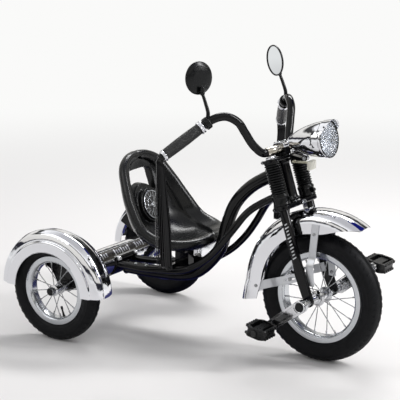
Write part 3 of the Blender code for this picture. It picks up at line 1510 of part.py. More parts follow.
def lamp_outline():
    """Distance behind the ring and outer radius of the lamp's bowl, as shares."""
    return [(0.0, 1.0), (0.15, 0.975), (0.36, 0.88), (0.60, 0.69), (0.80, 0.455), (0.94, 0.22),
            (1.0, 0.0)]


def visor_solid():
    """A peak round the top of the ring, deepest in the middle."""
    steps = 10
    near = LAMP_R - VISOR_INSET
    far = near + VISOR_T
    rings = []
    for i in range(steps + 1):
        angle = math.radians(VISOR_START + (180.0 - 2 * VISOR_START) * i / steps)
        reach = VISOR_REACH * math.sin(math.pi * (i + 0.6) / (steps + 1.2)) ** 0.7
        c, s = math.cos(angle), math.sin(angle)
        rings.append([Vector((-VISOR_BACK, near * c, near * s)), Vector((reach, near * c, near * s)),
                      Vector((reach, far * c, far * s)), Vector((-VISOR_BACK, far * c, far * s))])
    return loft(rings)


def lamp_housing_solid():
    """The bowl, its visor and its lug, drawn about the middle of the front ring, facing +X."""
    outer = [(LAMP_R * r, -LAMP_LENGTH * a) for a, r in lamp_outline()]
    inner = [(LAMP_R * r - LAMP_WALL, -LAMP_LENGTH * a) for a, r in lamp_outline()[:5]]
    inner.append((0.0, inner[-1][1] - LAMP_BOTTOM))
    bowl = revolve(outer + inner[::-1], 20, "X")
    lx, lz = lug_place()
    lug = prism(hull([(lx, lz, LUG_R), (lx, lz + LUG_REACH, LUG_TOP_R)], 16), -LUG_T / 2, LUG_T / 2, "Y")
    hole = shifted(rod(bore(LAMP_PIN_R, 16), -LUG_T, LUG_T, 16, "Y"), lx, 0.0, lz)
    return cut(join(bowl, visor_solid(), lug), hole)


def lug_place():
    """The pivot seen from the lamp's ring, in the lamp's own tilted frame."""
    tilt = math.radians(LAMP_TILT)
    return (-LAMP_AHEAD * math.cos(tilt) - LAMP_ABOVE * math.sin(tilt),
            LAMP_AHEAD * math.sin(tilt) - LAMP_ABOVE * math.cos(tilt))


def lens_solid():
    """A domed lens that stands in the ring's mouth."""
    seat = LAMP_R - LAMP_WALL - GAP
    outer = []
    inner = []
    for i in range(4):
        share = 1.0 - i / 3
        dome = LENS_BULGE * (1 - share ** 2)
        outer.append((seat * share, LENS_AHEAD + dome))
        inner.append((seat * share, LENS_AHEAD + dome - LENS_T))
    return revolve(outer + inner[::-1], 20, "X")


def build_lamp(steering):
    bracket = lamp_bracket_solid()
    add_part("lamp_bracket", bracket, black_paint("lamp_bracket"), steering)
    add_part("reflector", reflector_solid(), clear_plastic("reflector"), steering)
    px, pz = pivot_in_fork()
    pivot = add_empty("lamp_pivot", steering, (px, 0.0, pz), pitch=RAKE - LAMP_TILT)
    lx, lz = lug_place()
    housing = shifted(lamp_housing_solid(), -lx, 0.0, -lz)
    lens = shifted(lens_solid(), -lx, 0.0, -lz)
    add_part("lamp_housing", housing, chrome("lamp_housing"), pivot)
    add_part("lamp_lens", lens, clear_plastic("lamp_lens"), pivot)


# Front fender and stays, drawn upright about the front axle

def fender_half_width(depth):
    """Half the fender's width at a depth below its crown: a rounded shoulder, then a flat side."""
    if depth >= FRONT_FENDER_SHOULDER:
        return FRONT_FENDER_HALF
    share = (FRONT_FENDER_SHOULDER - depth) / FRONT_FENDER_SHOULDER
    return FRONT_FENDER_HALF * (1.0 - share ** 2.4) ** (1 / 2.4)


def fender_depth(angle):
    """How far the side reaches down at an angle round the wheel: it narrows to a tip in front."""
    share = min(max((angle - FRONT_FENDER_TIP) / (FRONT_FENDER_FULL - FRONT_FENDER_TIP), 0.0), 1.0)
    growth = math.sin(math.pi / 2 * share) ** 1.2
    return FRONT_FENDER_LIP + (FRONT_FENDER_DEPTH - FRONT_FENDER_LIP) * growth


def fender_radius(angle):
    share = max((angle - FRONT_FENDER_FLARE) / (FRONT_FENDER_TAIL - FRONT_FENDER_FLARE), 0.0)
    return FRONT_FENDER_R + FRONT_FENDER_FLARE_OUT * share ** 1.5


def front_fender_shell():
    steps = 20
    rings = []
    for i in range(steps + 1):
        angle = FRONT_FENDER_TIP + (FRONT_FENDER_TAIL - FRONT_FENDER_TIP) * i / steps
        crown = fender_radius(angle)
        depth = fender_depth(angle)
        half = []
        for share in (1.0, 0.55, 0.24, 0.06):
            half.append((fender_half_width(depth * share), crown - depth * share))
        line = half + [(0.0, crown)] + [(-y, r) for y, r in reversed(half)]
        c, s = math.cos(math.radians(angle)), math.sin(math.radians(angle))
        section = thicken(line, FRONT_FENDER_WALL, -1.0)
        rings.append([Vector((r * c, y, r * s)) for y, r in section])
    return shifted(loft(rings), FRONT_FENDER_AHEAD, 0.0, FRONT_FENDER_UP)


def fender_bracket():
    """A bent strip from the lower crown's front face to the fender's crown, in the fork's frame."""
    ahead = AXLE_LEAD + FRONT_FENDER_AHEAD
    cx = ahead * math.cos(RAKE_RAD) + FRONT_FENDER_UP * math.sin(RAKE_RAD)
    cz = FRONT_FENDER_UP * math.cos(RAKE_RAD) - ahead * math.sin(RAKE_RAD)
    face = LOW_FACE + GAP + FENDER_TONGUE_T / 2
    radius = FRONT_FENDER_R + FENDER_TONGUE_T / 4
    drop = cz + math.sqrt(radius ** 2 - (face - cx) ** 2)
    foot = [(face, CROWN_LOW_Z + FENDER_TONGUE_TOP), (face, drop + FENDER_TONGUE_T / 2),
            (face + FENDER_TONGUE_STEP, drop)]
    for reach in (FENDER_TONGUE_REACH / 2, FENDER_TONGUE_REACH):
        x = face + reach
        foot.append((x, cz + math.sqrt(radius ** 2 - (x - cx) ** 2)))
    return prism(centred(foot, FENDER_TONGUE_T), -FENDER_TONGUE_HALF, FENDER_TONGUE_HALF, "Y")


def front_fender_solid():
    lead = (AXLE_LEAD * math.cos(RAKE_RAD), 0.0, -AXLE_LEAD * math.sin(RAKE_RAD))
    bracket = shifted(fender_bracket(), -lead[0], 0.0, -lead[2])
    return join(front_fender_shell(), pitched(bracket, -RAKE))


def stay_rear_solid():
    """Left rear stay: a slotted strip from inside the fender's tail to inside the dropout."""
    wall = FRONT_FENDER_HALF - FRONT_FENDER_WALL - GAP - STAY_T / 2
    leg = LEG_Y - DROPOUT_T / 2 - GAP - STAY_T / 2
    line = [(-STAY_TAIL, wall), (STAY_STEP_IN, wall), (STAY_STEP_OUT, STAY_BOW), (STAY_TURN, STAY_BOW),
            (STAY_LAP, leg), (STAY_END, leg)]
    strip = prism(centred(line, STAY_T), -STAY_H / 2, STAY_H / 2)
    ends = [(STAY_SLOT_NEAR, 0.0, STAY_SLOT_R), (STAY_SLOT_FAR, 0.0, STAY_SLOT_R)]
    slot = prism(hull(ends, 12), STAY_BOW - STAY_T, STAY_BOW + STAY_T, "Y")
    stay = pitched(cut(strip, slot), -STAY_SLOPE)
    return shifted(stay, -STAY_BACK, 0.0, STAY_UP)


def stay_front_solid():
    """Left front stay: a strip from the fender's side, in and down to the dropout's front edge."""
    side = FRONT_FENDER_HALF + GAP + STAY_T / 2
    leg = LEG_Y - DROPOUT_T / 2 - GAP - STAY_T / 2
    line = [(leg, FRONT_STAY_LOW), (leg, FRONT_STAY_BEND), (side, FRONT_STAY_OUT), (side, FRONT_STAY_HIGH)]
    strip = prism(centred(line, STAY_T), -FRONT_STAY_W / 2, FRONT_STAY_W / 2, "X")
    for vertex in strip.verts:
        above = vertex.co.z - FRONT_STAY_BEND
        lean = FRONT_STAY_LEAN if above > 0 else FRONT_STAY_HEEL
        vertex.co.x += FRONT_STAY_AHEAD + lean * above
    return strip


def build_front_fender(steering):
    lead = (AXLE_LEAD * math.cos(RAKE_RAD), 0.0, -AXLE_LEAD * math.sin(RAKE_RAD))
    axle = add_empty("fender_middle", steering, lead, pitch=RAKE)
    add_part("front_fender", front_fender_solid(), chrome("front_fender"), axle)
    for side, tag in ((-1, "r"), (1, "l")):
        rear = on_side(stay_rear_solid(), side)
        add_part("stay_rear_" + tag, rear, chrome("stay_rear_" + tag), axle)
        front = on_side(stay_front_solid(), side)
        add_part("stay_front_" + tag, front, chrome("stay_front_" + tag), axle)


def build():
    clear_scene()
    root = add_empty("trike", None, (-MIDDLE_X, 0.0, 0.0))
    build_frame(root)
    build_seat(root)
    steering = add_empty("steering", root, (STEER_X, 0.0, FRONT_R), pitch=-RAKE)
    build_fork(steering)
    build_bar(steering)
    build_lamp(steering)
    build_front_fender(steering)
    build_front_wheel(steering)
    for side, tag in ((-1, "r"), (1, "l")):
        build_rear_wheel(root, side, tag)


build()
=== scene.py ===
"""Visual model of a children's chopper-style tricycle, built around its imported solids."""

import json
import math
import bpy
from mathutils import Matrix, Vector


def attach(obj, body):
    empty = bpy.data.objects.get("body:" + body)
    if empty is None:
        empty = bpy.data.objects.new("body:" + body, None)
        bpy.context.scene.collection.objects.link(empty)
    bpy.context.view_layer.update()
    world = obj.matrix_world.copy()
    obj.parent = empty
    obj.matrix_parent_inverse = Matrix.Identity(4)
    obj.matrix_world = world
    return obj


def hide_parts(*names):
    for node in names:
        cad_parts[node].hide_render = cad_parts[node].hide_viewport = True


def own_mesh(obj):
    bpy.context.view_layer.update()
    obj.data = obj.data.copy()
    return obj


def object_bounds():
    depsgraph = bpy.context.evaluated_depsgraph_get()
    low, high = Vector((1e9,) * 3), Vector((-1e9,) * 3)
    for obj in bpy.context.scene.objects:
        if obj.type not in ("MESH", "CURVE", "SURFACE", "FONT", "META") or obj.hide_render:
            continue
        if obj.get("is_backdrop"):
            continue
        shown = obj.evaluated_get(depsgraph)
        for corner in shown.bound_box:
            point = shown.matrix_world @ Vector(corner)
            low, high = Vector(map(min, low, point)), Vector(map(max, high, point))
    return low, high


bl_info = {
    "name": "Chopper Tricycle",
    "version": (1, 0, 0),
    "blender": (4, 5, 0),
    "location": "View3D > Sidebar > Tricycle",
    "description": "Builds a children's tricycle with swept tubes, chrome fenders and a bucket seat",
    "category": "Add Mesh",
}

import bmesh
import bpy
from mathutils import Matrix, Vector

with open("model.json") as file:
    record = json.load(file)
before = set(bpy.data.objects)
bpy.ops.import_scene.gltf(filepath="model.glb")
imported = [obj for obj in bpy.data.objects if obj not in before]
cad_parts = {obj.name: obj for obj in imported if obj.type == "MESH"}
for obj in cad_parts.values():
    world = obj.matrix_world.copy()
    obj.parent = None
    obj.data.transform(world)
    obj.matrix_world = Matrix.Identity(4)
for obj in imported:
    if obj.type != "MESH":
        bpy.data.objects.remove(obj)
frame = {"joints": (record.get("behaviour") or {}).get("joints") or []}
CAD_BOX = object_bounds()
JOINTS = {joint["name"]: joint for joint in frame["joints"]}

# Where the moving parts turn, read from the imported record
PIVOT = {name: Vector(joint["pos_m"]) for name, joint in JOINTS.items()}
FRONT_AXLE = PIVOT["front_wheel_spin"]
REAR_AXLE = {tag: PIVOT["rear_wheel_" + tag + "_spin"] for tag in "rl"}
LAMP_PIVOT = PIVOT["lamp_tilt"]
MIRROR_PIVOT = {tag: PIVOT["mirror_" + tag + "_swivel"] for tag in "rl"}
PEDAL_PIVOT = {tag: PIVOT["pedal_" + tag + "_spin"] for tag in "rl"}
RAKE = math.atan2(-JOINTS["steer"]["axis"][0], JOINTS["steer"]["axis"][2])
SIDES = (("r", -1), ("l", 1))

# The handlebar: its place in the fork's frame, its radius and the bore of what sits on it
STEM_X = 0.007
BAR_HIGH = 0.3619
BAR_R = 0.010
BAR_BORE = 0.0103
# The rear: the tyres' radius, each wheel's distance from the middle and the beam's centre
REAR_RADIUS = 0.127
TRACK = 0.2363
BEAM_AT = Vector((0.005, 0.0, 0.154))
# The air left between two touching pieces, and the fender plates' thickness
GAP = 0.0003
PLATE_T = 0.0035

# Frames that the pieces are drawn in
TRIKE = Matrix.Translation((REAR_AXLE["r"].x, 0.0, 0.0))
FORK = Matrix.Translation(PIVOT["steer"]) @ Matrix.Rotation(-RAKE, 4, "Y")
UPRIGHT = Matrix.Translation(FRONT_AXLE)
BAR = Matrix.Translation(FORK @ Vector((STEM_X, 0.0, BAR_HIGH)))
AXLE = TRIKE @ Matrix.Translation((0, 0, REAR_RADIUS))
BEAM = TRIKE @ Matrix.Translation(BEAM_AT)

# The material of each finish, by its key
FINISH = {}


def linear(code):
    """An sRGB hex colour as linear red, green and blue."""
    channels = [int(code[i:i + 2], 16) / 255 for i in (1, 3, 5)]
    return tuple(c / 12.92 if c <= 0.04045 else ((c + 0.055) / 1.055) ** 2.4 for c in channels)


# What a user would change

def colour(label, code, words):
    return bpy.props.FloatVectorProperty(name=label, description=words, subtype="COLOR", size=3,
                                         min=0.0, max=1.0, default=linear(code))


class TrikeColours(bpy.types.PropertyGroup):
    """Colours of the finishes."""
    paint: colour("Enamel", "#060608", "Gloss enamel on tubes, fork and bars")
    chrome: colour("Chrome", "#E4E5E9", "Chrome plate on fenders, lamp and beam")
    rim: colour("Rims", "#C3C6CA", "Satin metal of the wheel rims")
    tyre: colour("Tyres", "#0B0C0F", "Rubber of the tyres")
    rubber: colour("Rubber", "#0A0B0C", "Rubber of gaiters and pedals")
    seat: colour("Seat", "#0C0D0E", "Moulded plastic of the seat")
    vinyl: colour("Ribbons", "#09090C", "Vinyl of the handlebar ribbons")
    floor: colour("Floor", "#FAFAF9", "Studio floor and background")


def whole_number(label, words, start, low, high):
    return bpy.props.IntProperty(name=label, description=words, default=start, min=low, max=high)


def power(label, words, start):
    return bpy.props.FloatProperty(name=label, description=words, default=start, min=0.0, max=1000.0,
                                   unit="POWER")


class TrikeSizes(bpy.types.PropertyGroup):
    """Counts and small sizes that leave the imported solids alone."""
    front_spokes: whole_number("Front spokes", "Spokes in the front wheel", 20, 8, 48)
    rear_spokes: whole_number("Rear spokes", "Spokes in each rear wheel", 16, 8, 48)
    spoke_radius: bpy.props.FloatProperty(name="Spoke radius", description="Radius of one spoke",
                                          default=0.0011, min=0.0005, max=0.003, unit="LENGTH")
    tread_lugs: whole_number("Tread lugs", "Lugs on each tyre shoulder", 56, 12, 120)
    gaiter_ribs: whole_number("Gaiter ribs", "Ribs on each fork gaiter", 12, 4, 30)
    ribbons: whole_number("Ribbons", "Ribbons in each handlebar tassel", 21, 4, 40)
    pedal_ribs: whole_number("Pedal ribs", "Ribs on each pedal tread", 5, 3, 12)


class TrikeStage(bpy.types.PropertyGroup):
    """Light and camera."""
    key: power("Key light", "Power of the large key light", 38.0)
    fill: power("Fill light", "Power of the fill light", 11.0)
    lens: bpy.props.FloatProperty(name="Lens", description="Focal length of the camera",
                                  default=144.0, min=20.0, max=300.0, unit="CAMERA")


# Nodes and materials

def add_node(tree, kind, settings=None, feeds=None, output=0):
    """Add a node, set its properties, feed its inputs from values or sockets, give one output."""
    node = tree.nodes.new(kind)
    for name, value in (settings or {}).items():
        setattr(node, name, value)
    for key, value in (feeds or {}).items():
        if isinstance(value, bpy.types.NodeSocket):
            tree.links.new(value, node.inputs[key])
        else:
            node.inputs[key].default_value = value
    return node.outputs[output] if node.outputs else node


def shade(rgb, factor):
    return tuple(min(c * factor, 1.0) for c in rgb) + (1.0,)


def bumped(material, height, depth):
    """Raise the surface by a height pattern."""
    tree = material.node_tree
    bump = add_node(tree, "ShaderNodeBump", {}, {"Height": height, "Strength": 1.0, "Distance": depth})
    tree.links.new(bump, tree.nodes["Principled BSDF"].inputs["Normal"])


def surface(key, name, rgb, roughness, metallic=0.0, tone=0.1, patch=0.05, gloss=0.04, grain=0.002,
            depth=0.0, **sockets):
    """A finish with uneven tone and gloss in patches, and a fine grain or ripple in its surface.
    patch and grain are sizes in metres."""
    material = bpy.data.materials.new(name)
    material.use_nodes = True
    tree = material.node_tree
    shader = tree.nodes["Principled BSDF"]
    shader.inputs["Metallic"].default_value = metallic
    for socket, value in sockets.items():
        shader.inputs[socket.replace("_", " ")].default_value = value
    where = add_node(tree, "ShaderNodeTexCoord", output="Object")
    cloud = add_node(tree, "ShaderNodeTexNoise", {},
                     {"Vector": where, "Scale": 1 / patch, "Detail": 4.0, "Roughness": 0.6}, "Fac")
    blend = add_node(tree, "ShaderNodeMix", {"data_type": "RGBA"},
                     {"Factor": cloud, "A": shade(rgb, 1 - tone), "B": shade(rgb, 1 + tone)}, "Result")
    tree.links.new(blend, shader.inputs["Base Color"])
    smear = add_node(tree, "ShaderNodeTexNoise", {},
                     {"Vector": where, "Scale": 3 / patch, "Detail": 6.0, "Distortion": 0.6}, "Fac")
    rough = add_node(tree, "ShaderNodeMapRange", {},
                     {"Value": smear, "From Min": 0.3, "From Max": 0.7,
                      "To Min": max(roughness - gloss, 0.02), "To Max": roughness + gloss})
    tree.links.new(rough, shader.inputs["Roughness"])
    if depth:
        fine = add_node(tree, "ShaderNodeTexNoise", {},
                        {"Vector": where, "Scale": 1 / grain, "Detail": 3.0}, "Fac")
        bumped(material, fine, depth)
    FINISH[key] = material
    return material


def dimpled(key, name, rgb, roughness, cell, depth):
    """Rubber moulded with close round bubbles, laid out on the piece's own UV map."""
    material = surface(key, name, rgb, roughness, tone=0.2, patch=0.02)
    tree = material.node_tree
    where = add_node(tree, "ShaderNodeUVMap", {"uv_map": "UVMap"})
    cells = add_node(tree, "ShaderNodeTexVoronoi", {"feature": "SMOOTH_F1"},
                     {"Vector": where, "Scale": 1 / cell, "Randomness": 0.35, "Smoothness": 0.2},
                     "Distance")
    height = add_node(tree, "ShaderNodeMapRange", {},
                      {"Value": cells, "From Min": 0.0, "From Max": 0.6, "To Min": 1.0, "To Max": 0.0})
    bumped(material, height, depth)


def prismatic(key, name, rgb, cell, depth, transmission, roughness):
    """Clear plastic with a square prism pattern pressed in it."""
    material = surface(key, name, rgb, roughness, tone=0.03, patch=0.03, gloss=0.01,
                       Transmission_Weight=transmission, IOR=1.49)
    tree = material.node_tree
    where = add_node(tree, "ShaderNodeTexCoord", output="Object")
    cells = add_node(tree, "ShaderNodeTexVoronoi", {"feature": "F1", "distance": "CHEBYCHEV"},
                     {"Vector": where, "Scale": 1 / cell, "Randomness": 0.0}, "Distance")
    bumped(material, cells, depth)


def mix_finishes():
    """Every finish of the tricycle, each from what the real one is and how it was made."""
    c = bpy.context.scene.trike_colours
    # Gloss enamel, sprayed and baked: deep black under a clear skin with faint orange peel
    surface("enamel", "sprayed gloss enamel", c.paint, 0.13, tone=0.12, patch=0.08, gloss=0.04,
            grain=0.006, depth=0.00001, Specular_IOR_Level=0.2, Coat_Weight=0.1, Coat_Roughness=0.03)
    # Chrome on pressed sheet steel: mirror bright, with the slow ripples of the pressing
    surface("chrome", "chrome plated pressed steel", c.chrome, 0.05, 1.0, tone=0.04, patch=0.12,
            gloss=0.02, grain=0.045, depth=0.0014)
    # Flat fender stays: steel strip, tumbled and plated, with a soft grey shine
    surface("satin", "satin plated strip steel", linear("#C6C8CC"), 0.34, 1.0, tone=0.07, patch=0.03,
            gloss=0.06, grain=0.004, depth=0.00003)
    # Printed foil band round the beam: dark olive brown under clear lacquer
    surface("olive", "dark printed foil", linear("#2B2720"), 0.3, 0.35, tone=0.25, patch=0.05,
            gloss=0.08, grain=0.003, depth=0.00002, Coat_Weight=0.3, Coat_Roughness=0.1)
    # Zinc plate with a yellow passivation, on the reflector's bracket
    surface("tab", "yellow passivated zinc plate", linear("#D6D3BC"), 0.3, 0.6, tone=0.08, patch=0.02,
            gloss=0.06, grain=0.003, depth=0.00003)
    # Anodised aluminium rims: satin and grey, with a slow ripple left by the rolling
    surface("rim", "satin anodised aluminium", c.rim, 0.20, 1.0, tone=0.08, patch=0.04, gloss=0.05,
            grain=0.012, depth=0.00006)
    # Zinc plated steel: dull silver with cloudy patches, on spokes, axle and bolts
    surface("zinc", "zinc plated steel", linear("#9FA1A3"), 0.26, 1.0, tone=0.16, patch=0.012,
            gloss=0.10, grain=0.003, depth=0.00004)
    # Cranks and hubs: steel, polished and plated, with a faint waviness
    surface("crank", "polished plated steel", linear("#D2D3D6"), 0.14, 1.0, tone=0.06, patch=0.02,
            gloss=0.06, grain=0.006, depth=0.00008)
    # Nickel on the bar's middle sleeve: a warmer, yellower silver
    surface("warm", "satin nickel sleeve", linear("#BBB5A9"), 0.22, 1.0, tone=0.05, patch=0.03,
            gloss=0.05, grain=0.004, depth=0.00003)
    # Tyre rubber: matt, almost black, dusty in patches, with the moulding's fine pebble
    surface("tyre", "moulded tyre rubber", c.tyre, 0.55, tone=0.25, patch=0.035, gloss=0.10,
            grain=0.0016, depth=0.00010, Specular_IOR_Level=0.16)
    # Gaiter and pedal rubber: smoother, with a soft shine on the ribs
    surface("rubber", "moulded black rubber", c.rubber, 0.30, tone=0.2, patch=0.02, gloss=0.07,
            grain=0.0012, depth=0.00002, Specular_IOR_Level=0.25)
    # Blow-moulded polyethylene seat: satin and smooth, barely grained by the mould
    surface("seat", "moulded polyethylene", c.seat, 0.27, tone=0.12, patch=0.06, gloss=0.03,
            grain=0.0040, depth=0.00001, Specular_IOR_Level=0.32)
    # ABS caps, clamps and mirror backs: injected and glossy
    surface("plastic", "gloss black ABS", linear("#0B0C0D"), 0.22, tone=0.12, patch=0.03, gloss=0.05,
            grain=0.003, depth=0.00002, Specular_IOR_Level=0.25)
    # ABS disc, pedal ends and stud: injected in a sandblasted mould, so matt
    surface("dark", "matt black ABS", linear("#0A0A0B"), 0.5, tone=0.2, patch=0.02, gloss=0.05,
            grain=0.001, depth=0.00004)
    # Vinyl ribbon: thin, glossy and faintly blue where it catches light
    surface("vinyl", "black vinyl ribbon", c.vinyl, 0.20, tone=0.3, patch=0.02, gloss=0.08,
            grain=0.020, depth=0.0003, Specular_IOR_Level=0.25)
    # Mirror glass: float glass, silvered behind
    surface("glass", "silvered mirror", linear("#E3E6E8"), 0.035, 1.0, tone=0.01, patch=0.05,
            gloss=0.01)
    # Aluminium rings of the badge: pressed and brushed to an uneven shine
    surface("badge", "pressed aluminium disc", linear("#B9BCC0"), 0.22, 1.0, tone=0.1, patch=0.006,
            gloss=0.08, grain=0.002, depth=0.00004)
    # Silver foil of the stripes and ticks: hot stamped, a little worn
    surface("stripe", "silver foil stripe", linear("#C9CBCE"), 0.3, 0.85, tone=0.12, patch=0.004,
            gloss=0.10, grain=0.002, depth=0.00002)
    # EVA grip sleeve with moulded bubbles about 2.4 mm across
    dimpled("foam", "bubble moulded grip rubber", linear("#0D0E0F"), 0.38, 0.0024, 0.0008)
    # Clear polycarbonate lens and reflector, pressed with prisms
    prismatic("lens", "clear pressed lens", linear("#F4F8FF"), 0.0055, 0.0022, 0.95, 0.015)
    prismatic("prism", "clear reflector plastic", linear("#ECEADF"), 0.0024, 0.0010, 0.35, 0.10)


# Lines and outlines

def arc(centre, radius, start, end, steps):
    points = []
    for i in range(steps + 1):
        angle = math.radians(start + (end - start) * i / steps)
        points.append((centre[0] + radius * math.cos(angle), centre[1] + radius * math.sin(angle)))
    return points


def turn(a, b, c):
    return (b[0] - a[0]) * (c[1] - b[1]) - (b[1] - a[1]) * (c[0] - b[0])


def hull(circles, steps):
    """The outline of a band stretched round circles of (x, y, radius)."""
    cloud = set()
    for x, y, radius in circles:
        for px, py in arc((x, y), radius, 0.0, 360.0, steps)[:-1]:
            cloud.add((round(px, 7), round(py, 7)))
    cloud = sorted(cloud)

    def half(points):
        chain = []
        for p in points:
            while len(chain) > 1 and turn(chain[-2], chain[-1], p) <= 0:
                chain.pop()
            chain.append(p)
        return chain[:-1]

    return half(cloud) + half(reversed(cloud))


def rounded(points, radius, steps=3, closed=True):
    """Ease each corner of an outline. Corners on the axis, at zero, stay."""
    points = [Vector(p) for p in points]
    count = len(points)
    result = []
    for i, p in enumerate(points):
        if (not closed and i in (0, count - 1)) or abs(p[0]) < 1e-9:
            result.append(tuple(p))
            continue
        before, after = points[i - 1] - p, points[(i + 1) % count] - p
        first = before.normalized() * min(radius, before.length * 0.45)
        second = after.normalized() * min(radius, after.length * 0.45)
        if before.length < 1e-9 or after.length < 1e-9:
            result.append(tuple(p))
            continue
        for k in range(steps + 1):
            t = k / steps
            result.append(tuple(p + first * (1 - t) ** 2 + second * t ** 2))
    return result


def thicken(line, thickness, side=1.0):
    """Close an open line into the outline of a wall on one side of it."""
    offset = []
    for i, point in enumerate(line):
        before = Vector(line[max(i - 1, 0)])
        after = Vector(line[min(i + 1, len(line) - 1)])
        along = (after - before).normalized()
        offset.append((point[0] + along.y * thickness * side, point[1] - along.x * thickness * side))
    return list(line) + offset[::-1]


def shell_patch(radius, depth, start, end, steps):
    """The section of a thin curved patch on a round bar."""
    return arc((0, 0), radius, start, end, steps) + arc((0, 0), radius - depth, end, start, steps)


def strip_outline(line, thickness):
    """The outline of a strip of even thickness along an open line."""
    left = thicken(line, thickness / 2, -1.0)[len(line):]
    right = thicken(line, thickness / 2, 1.0)[len(line):]
    return left[::-1] + right


def smooth_path(points, steps):
    """Read a smooth curve through the points, steps times in each span."""
    points = [Vector(p) for p in points]
    spans = [(b - a).length for a, b in zip(points, points[1:])]
    slopes = [(b - a) / span for a, b, span in zip(points, points[1:], spans)]
    tangents = [slopes[0]]
    for i in range(1, len(slopes)):
        total = spans[i - 1] + spans[i]
        tangents.append((slopes[i - 1] * spans[i] + slopes[i] * spans[i - 1]) / total)
    tangents.append(slopes[-1])
    curve = []
    for i, span in enumerate(spans):
        for k in range(steps):
            t = k / steps
            curve.append(points[i] * (2 * t ** 3 - 3 * t ** 2 + 1)
                         + tangents[i] * span * (t ** 3 - 2 * t ** 2 + t)
                         + points[i + 1] * (3 * t ** 2 - 2 * t ** 3)
                         + tangents[i + 1] * span * (t ** 3 - t ** 2))
    curve.append(points[-1])
    return curve


# Solids

def loft(rings, closed=False, pace=None):
    """Skin a row of rings, with a UV map in metres, and flat ends unless closed."""
    bm = bmesh.new()
    layer = bm.loops.layers.uv.new("UVMap")
    rows = [[bm.verts.new(p) for p in ring] for ring in rings]
    count = len(rings[0])
    along = [0.0]
    for a, b in zip(rings, rings[1:] + rings[:1]):
        along.append(along[-1] + (pace or (Vector(b[0]) - Vector(a[0])).length))
    across = [0.0]
    widest = max(rings, key=lambda ring: (Vector(ring[0]) - Vector(ring[count // 2])).length)
    for j in range(count):
        across.append(across[-1] + (Vector(widest[(j + 1) % count]) - Vector(widest[j])).length)
    for i in range(len(rows) if closed else len(rows) - 1):
        low, high = rows[i], rows[(i + 1) % len(rows)]
        for j in range(count):
            k = (j + 1) % count
            face = bm.faces.new((low[j], low[k], high[k], high[j]))
            corners = ((i, j), (i, j + 1), (i + 1, j + 1), (i + 1, j))
            for loop, (a, b) in zip(face.loops, corners):
                loop[layer].uv = (along[a], across[b])
    if not closed:
        bm.faces.new(rows[0][::-1])
        bm.faces.new(rows[-1])
    bmesh.ops.remove_doubles(bm, verts=bm.verts, dist=1e-6)
    bmesh.ops.delete(bm, geom=[e for e in bm.edges if not e.link_faces], context="EDGES")
    bmesh.ops.recalc_face_normals(bm, faces=bm.faces)
    return bm


def stand(point, height, axis):
    if axis == "X":
        return Vector((height, point[0], point[1]))
    if axis == "Y":
        return Vector((point[0], height, point[1]))
    return Vector((point[0], point[1], height))


def prism(outline, low, high, axis="Z"):
    return loft([[stand(p, low, axis) for p in outline], [stand(p, high, axis) for p in outline]])


def box(x0, x1, y0, y1, z0, z1):
    return prism([(x0, y0), (x1, y0), (x1, y1), (x0, y1)], z0, z1)


def revolve(profile, segments=64, axis="Z"):
    widest = max(p[0] for p in profile)
    rings = []
    for i in range(segments):
        angle = 2 * math.pi * i / segments
        rings.append([stand((r * math.cos(angle), r * math.sin(angle)), a, axis) for r, a in profile])
    return loft(rings, closed=True, pace=2 * math.pi * widest / segments)


def turned(profile, ease, steps, segments, axis="Z"):
    """A solid turned from a profile with eased corners."""
    return revolve(rounded(profile, ease, steps), segments, axis)


def both_ways(half):
    """A profile drawn from its middle out, with its mirror image before it."""
    return [(r, -a) for r, a in half[:0:-1]] + half


def rod(radius, low, high, segments=32, axis="Z", edge=0.0004):
    return turned([(0, low), (radius, low), (radius, high), (0, high)], edge, 2, segments, axis)


def sweep(path, radius, sides=24, taper=1.0):
    """A round bar along a path, which may narrow towards its end."""
    path = [Vector(p) for p in path]
    normal = Vector((0.0, 0.0, 1.0))
    rings = []
    for i, point in enumerate(path):
        tangent = (path[min(i + 1, len(path) - 1)] - path[max(i - 1, 0)]).normalized()
        normal = normal - tangent * normal.dot(tangent)
        if normal.length < 1e-6:
            normal = tangent.orthogonal()
        normal.normalize()
        side = tangent.cross(normal)
        size = radius * (1 + (taper - 1) * i / (len(path) - 1))
        rings.append([point + (normal * math.cos(a) + side * math.sin(a)) * size
                      for a in (2 * math.pi * k / sides for k in range(sides))])
    return loft(rings)


def moved(bm, matrix):
    bmesh.ops.transform(bm, matrix=matrix, verts=bm.verts)
    return bm


def shifted(bm, x, y, z):
    return moved(bm, Matrix.Translation((x, y, z)))


def pitched(bm, degrees):
    return moved(bm, Matrix.Rotation(math.radians(degrees), 4, "Y"))


def facing(point, direction):
    """A matrix that stands a solid's Z axis along a direction at a point."""
    aimed = Vector(direction).to_track_quat("Z", "Y").to_matrix().to_4x4()
    return Matrix.Translation(point) @ aimed


def on_side(bm, side):
    """Mirror a solid drawn for the left, where the side is the right one."""
    if side < 0:
        moved(bm, Matrix.Diagonal((1, -1, 1, 1)))
        bmesh.ops.reverse_faces(bm, faces=bm.faces)
    return bm


def merged(*solids):
    """Several solids as one mesh, each still closed."""
    bm = solids[0]
    for other in solids[1:]:
        mesh = bpy.data.meshes.new("part")
        other.to_mesh(mesh)
        other.free()
        bm.from_mesh(mesh)
        bpy.data.meshes.remove(mesh)
    return bm


def linked(name, bm):
    mesh = bpy.data.meshes.new(name)
    bm.to_mesh(mesh)
    bm.free()
    obj = bpy.data.objects.new(name, mesh)
    bpy.context.scene.collection.objects.link(obj)
    return obj


def evaluated(obj):
    """The object with its modifiers applied, as a bmesh."""
    bpy.context.view_layer.update()
    mesh = bpy.data.meshes.new_from_object(obj.evaluated_get(bpy.context.evaluated_depsgraph_get()))
    bm = bmesh.new()
    bm.from_mesh(mesh)
    bpy.data.meshes.remove(mesh)
    return bm


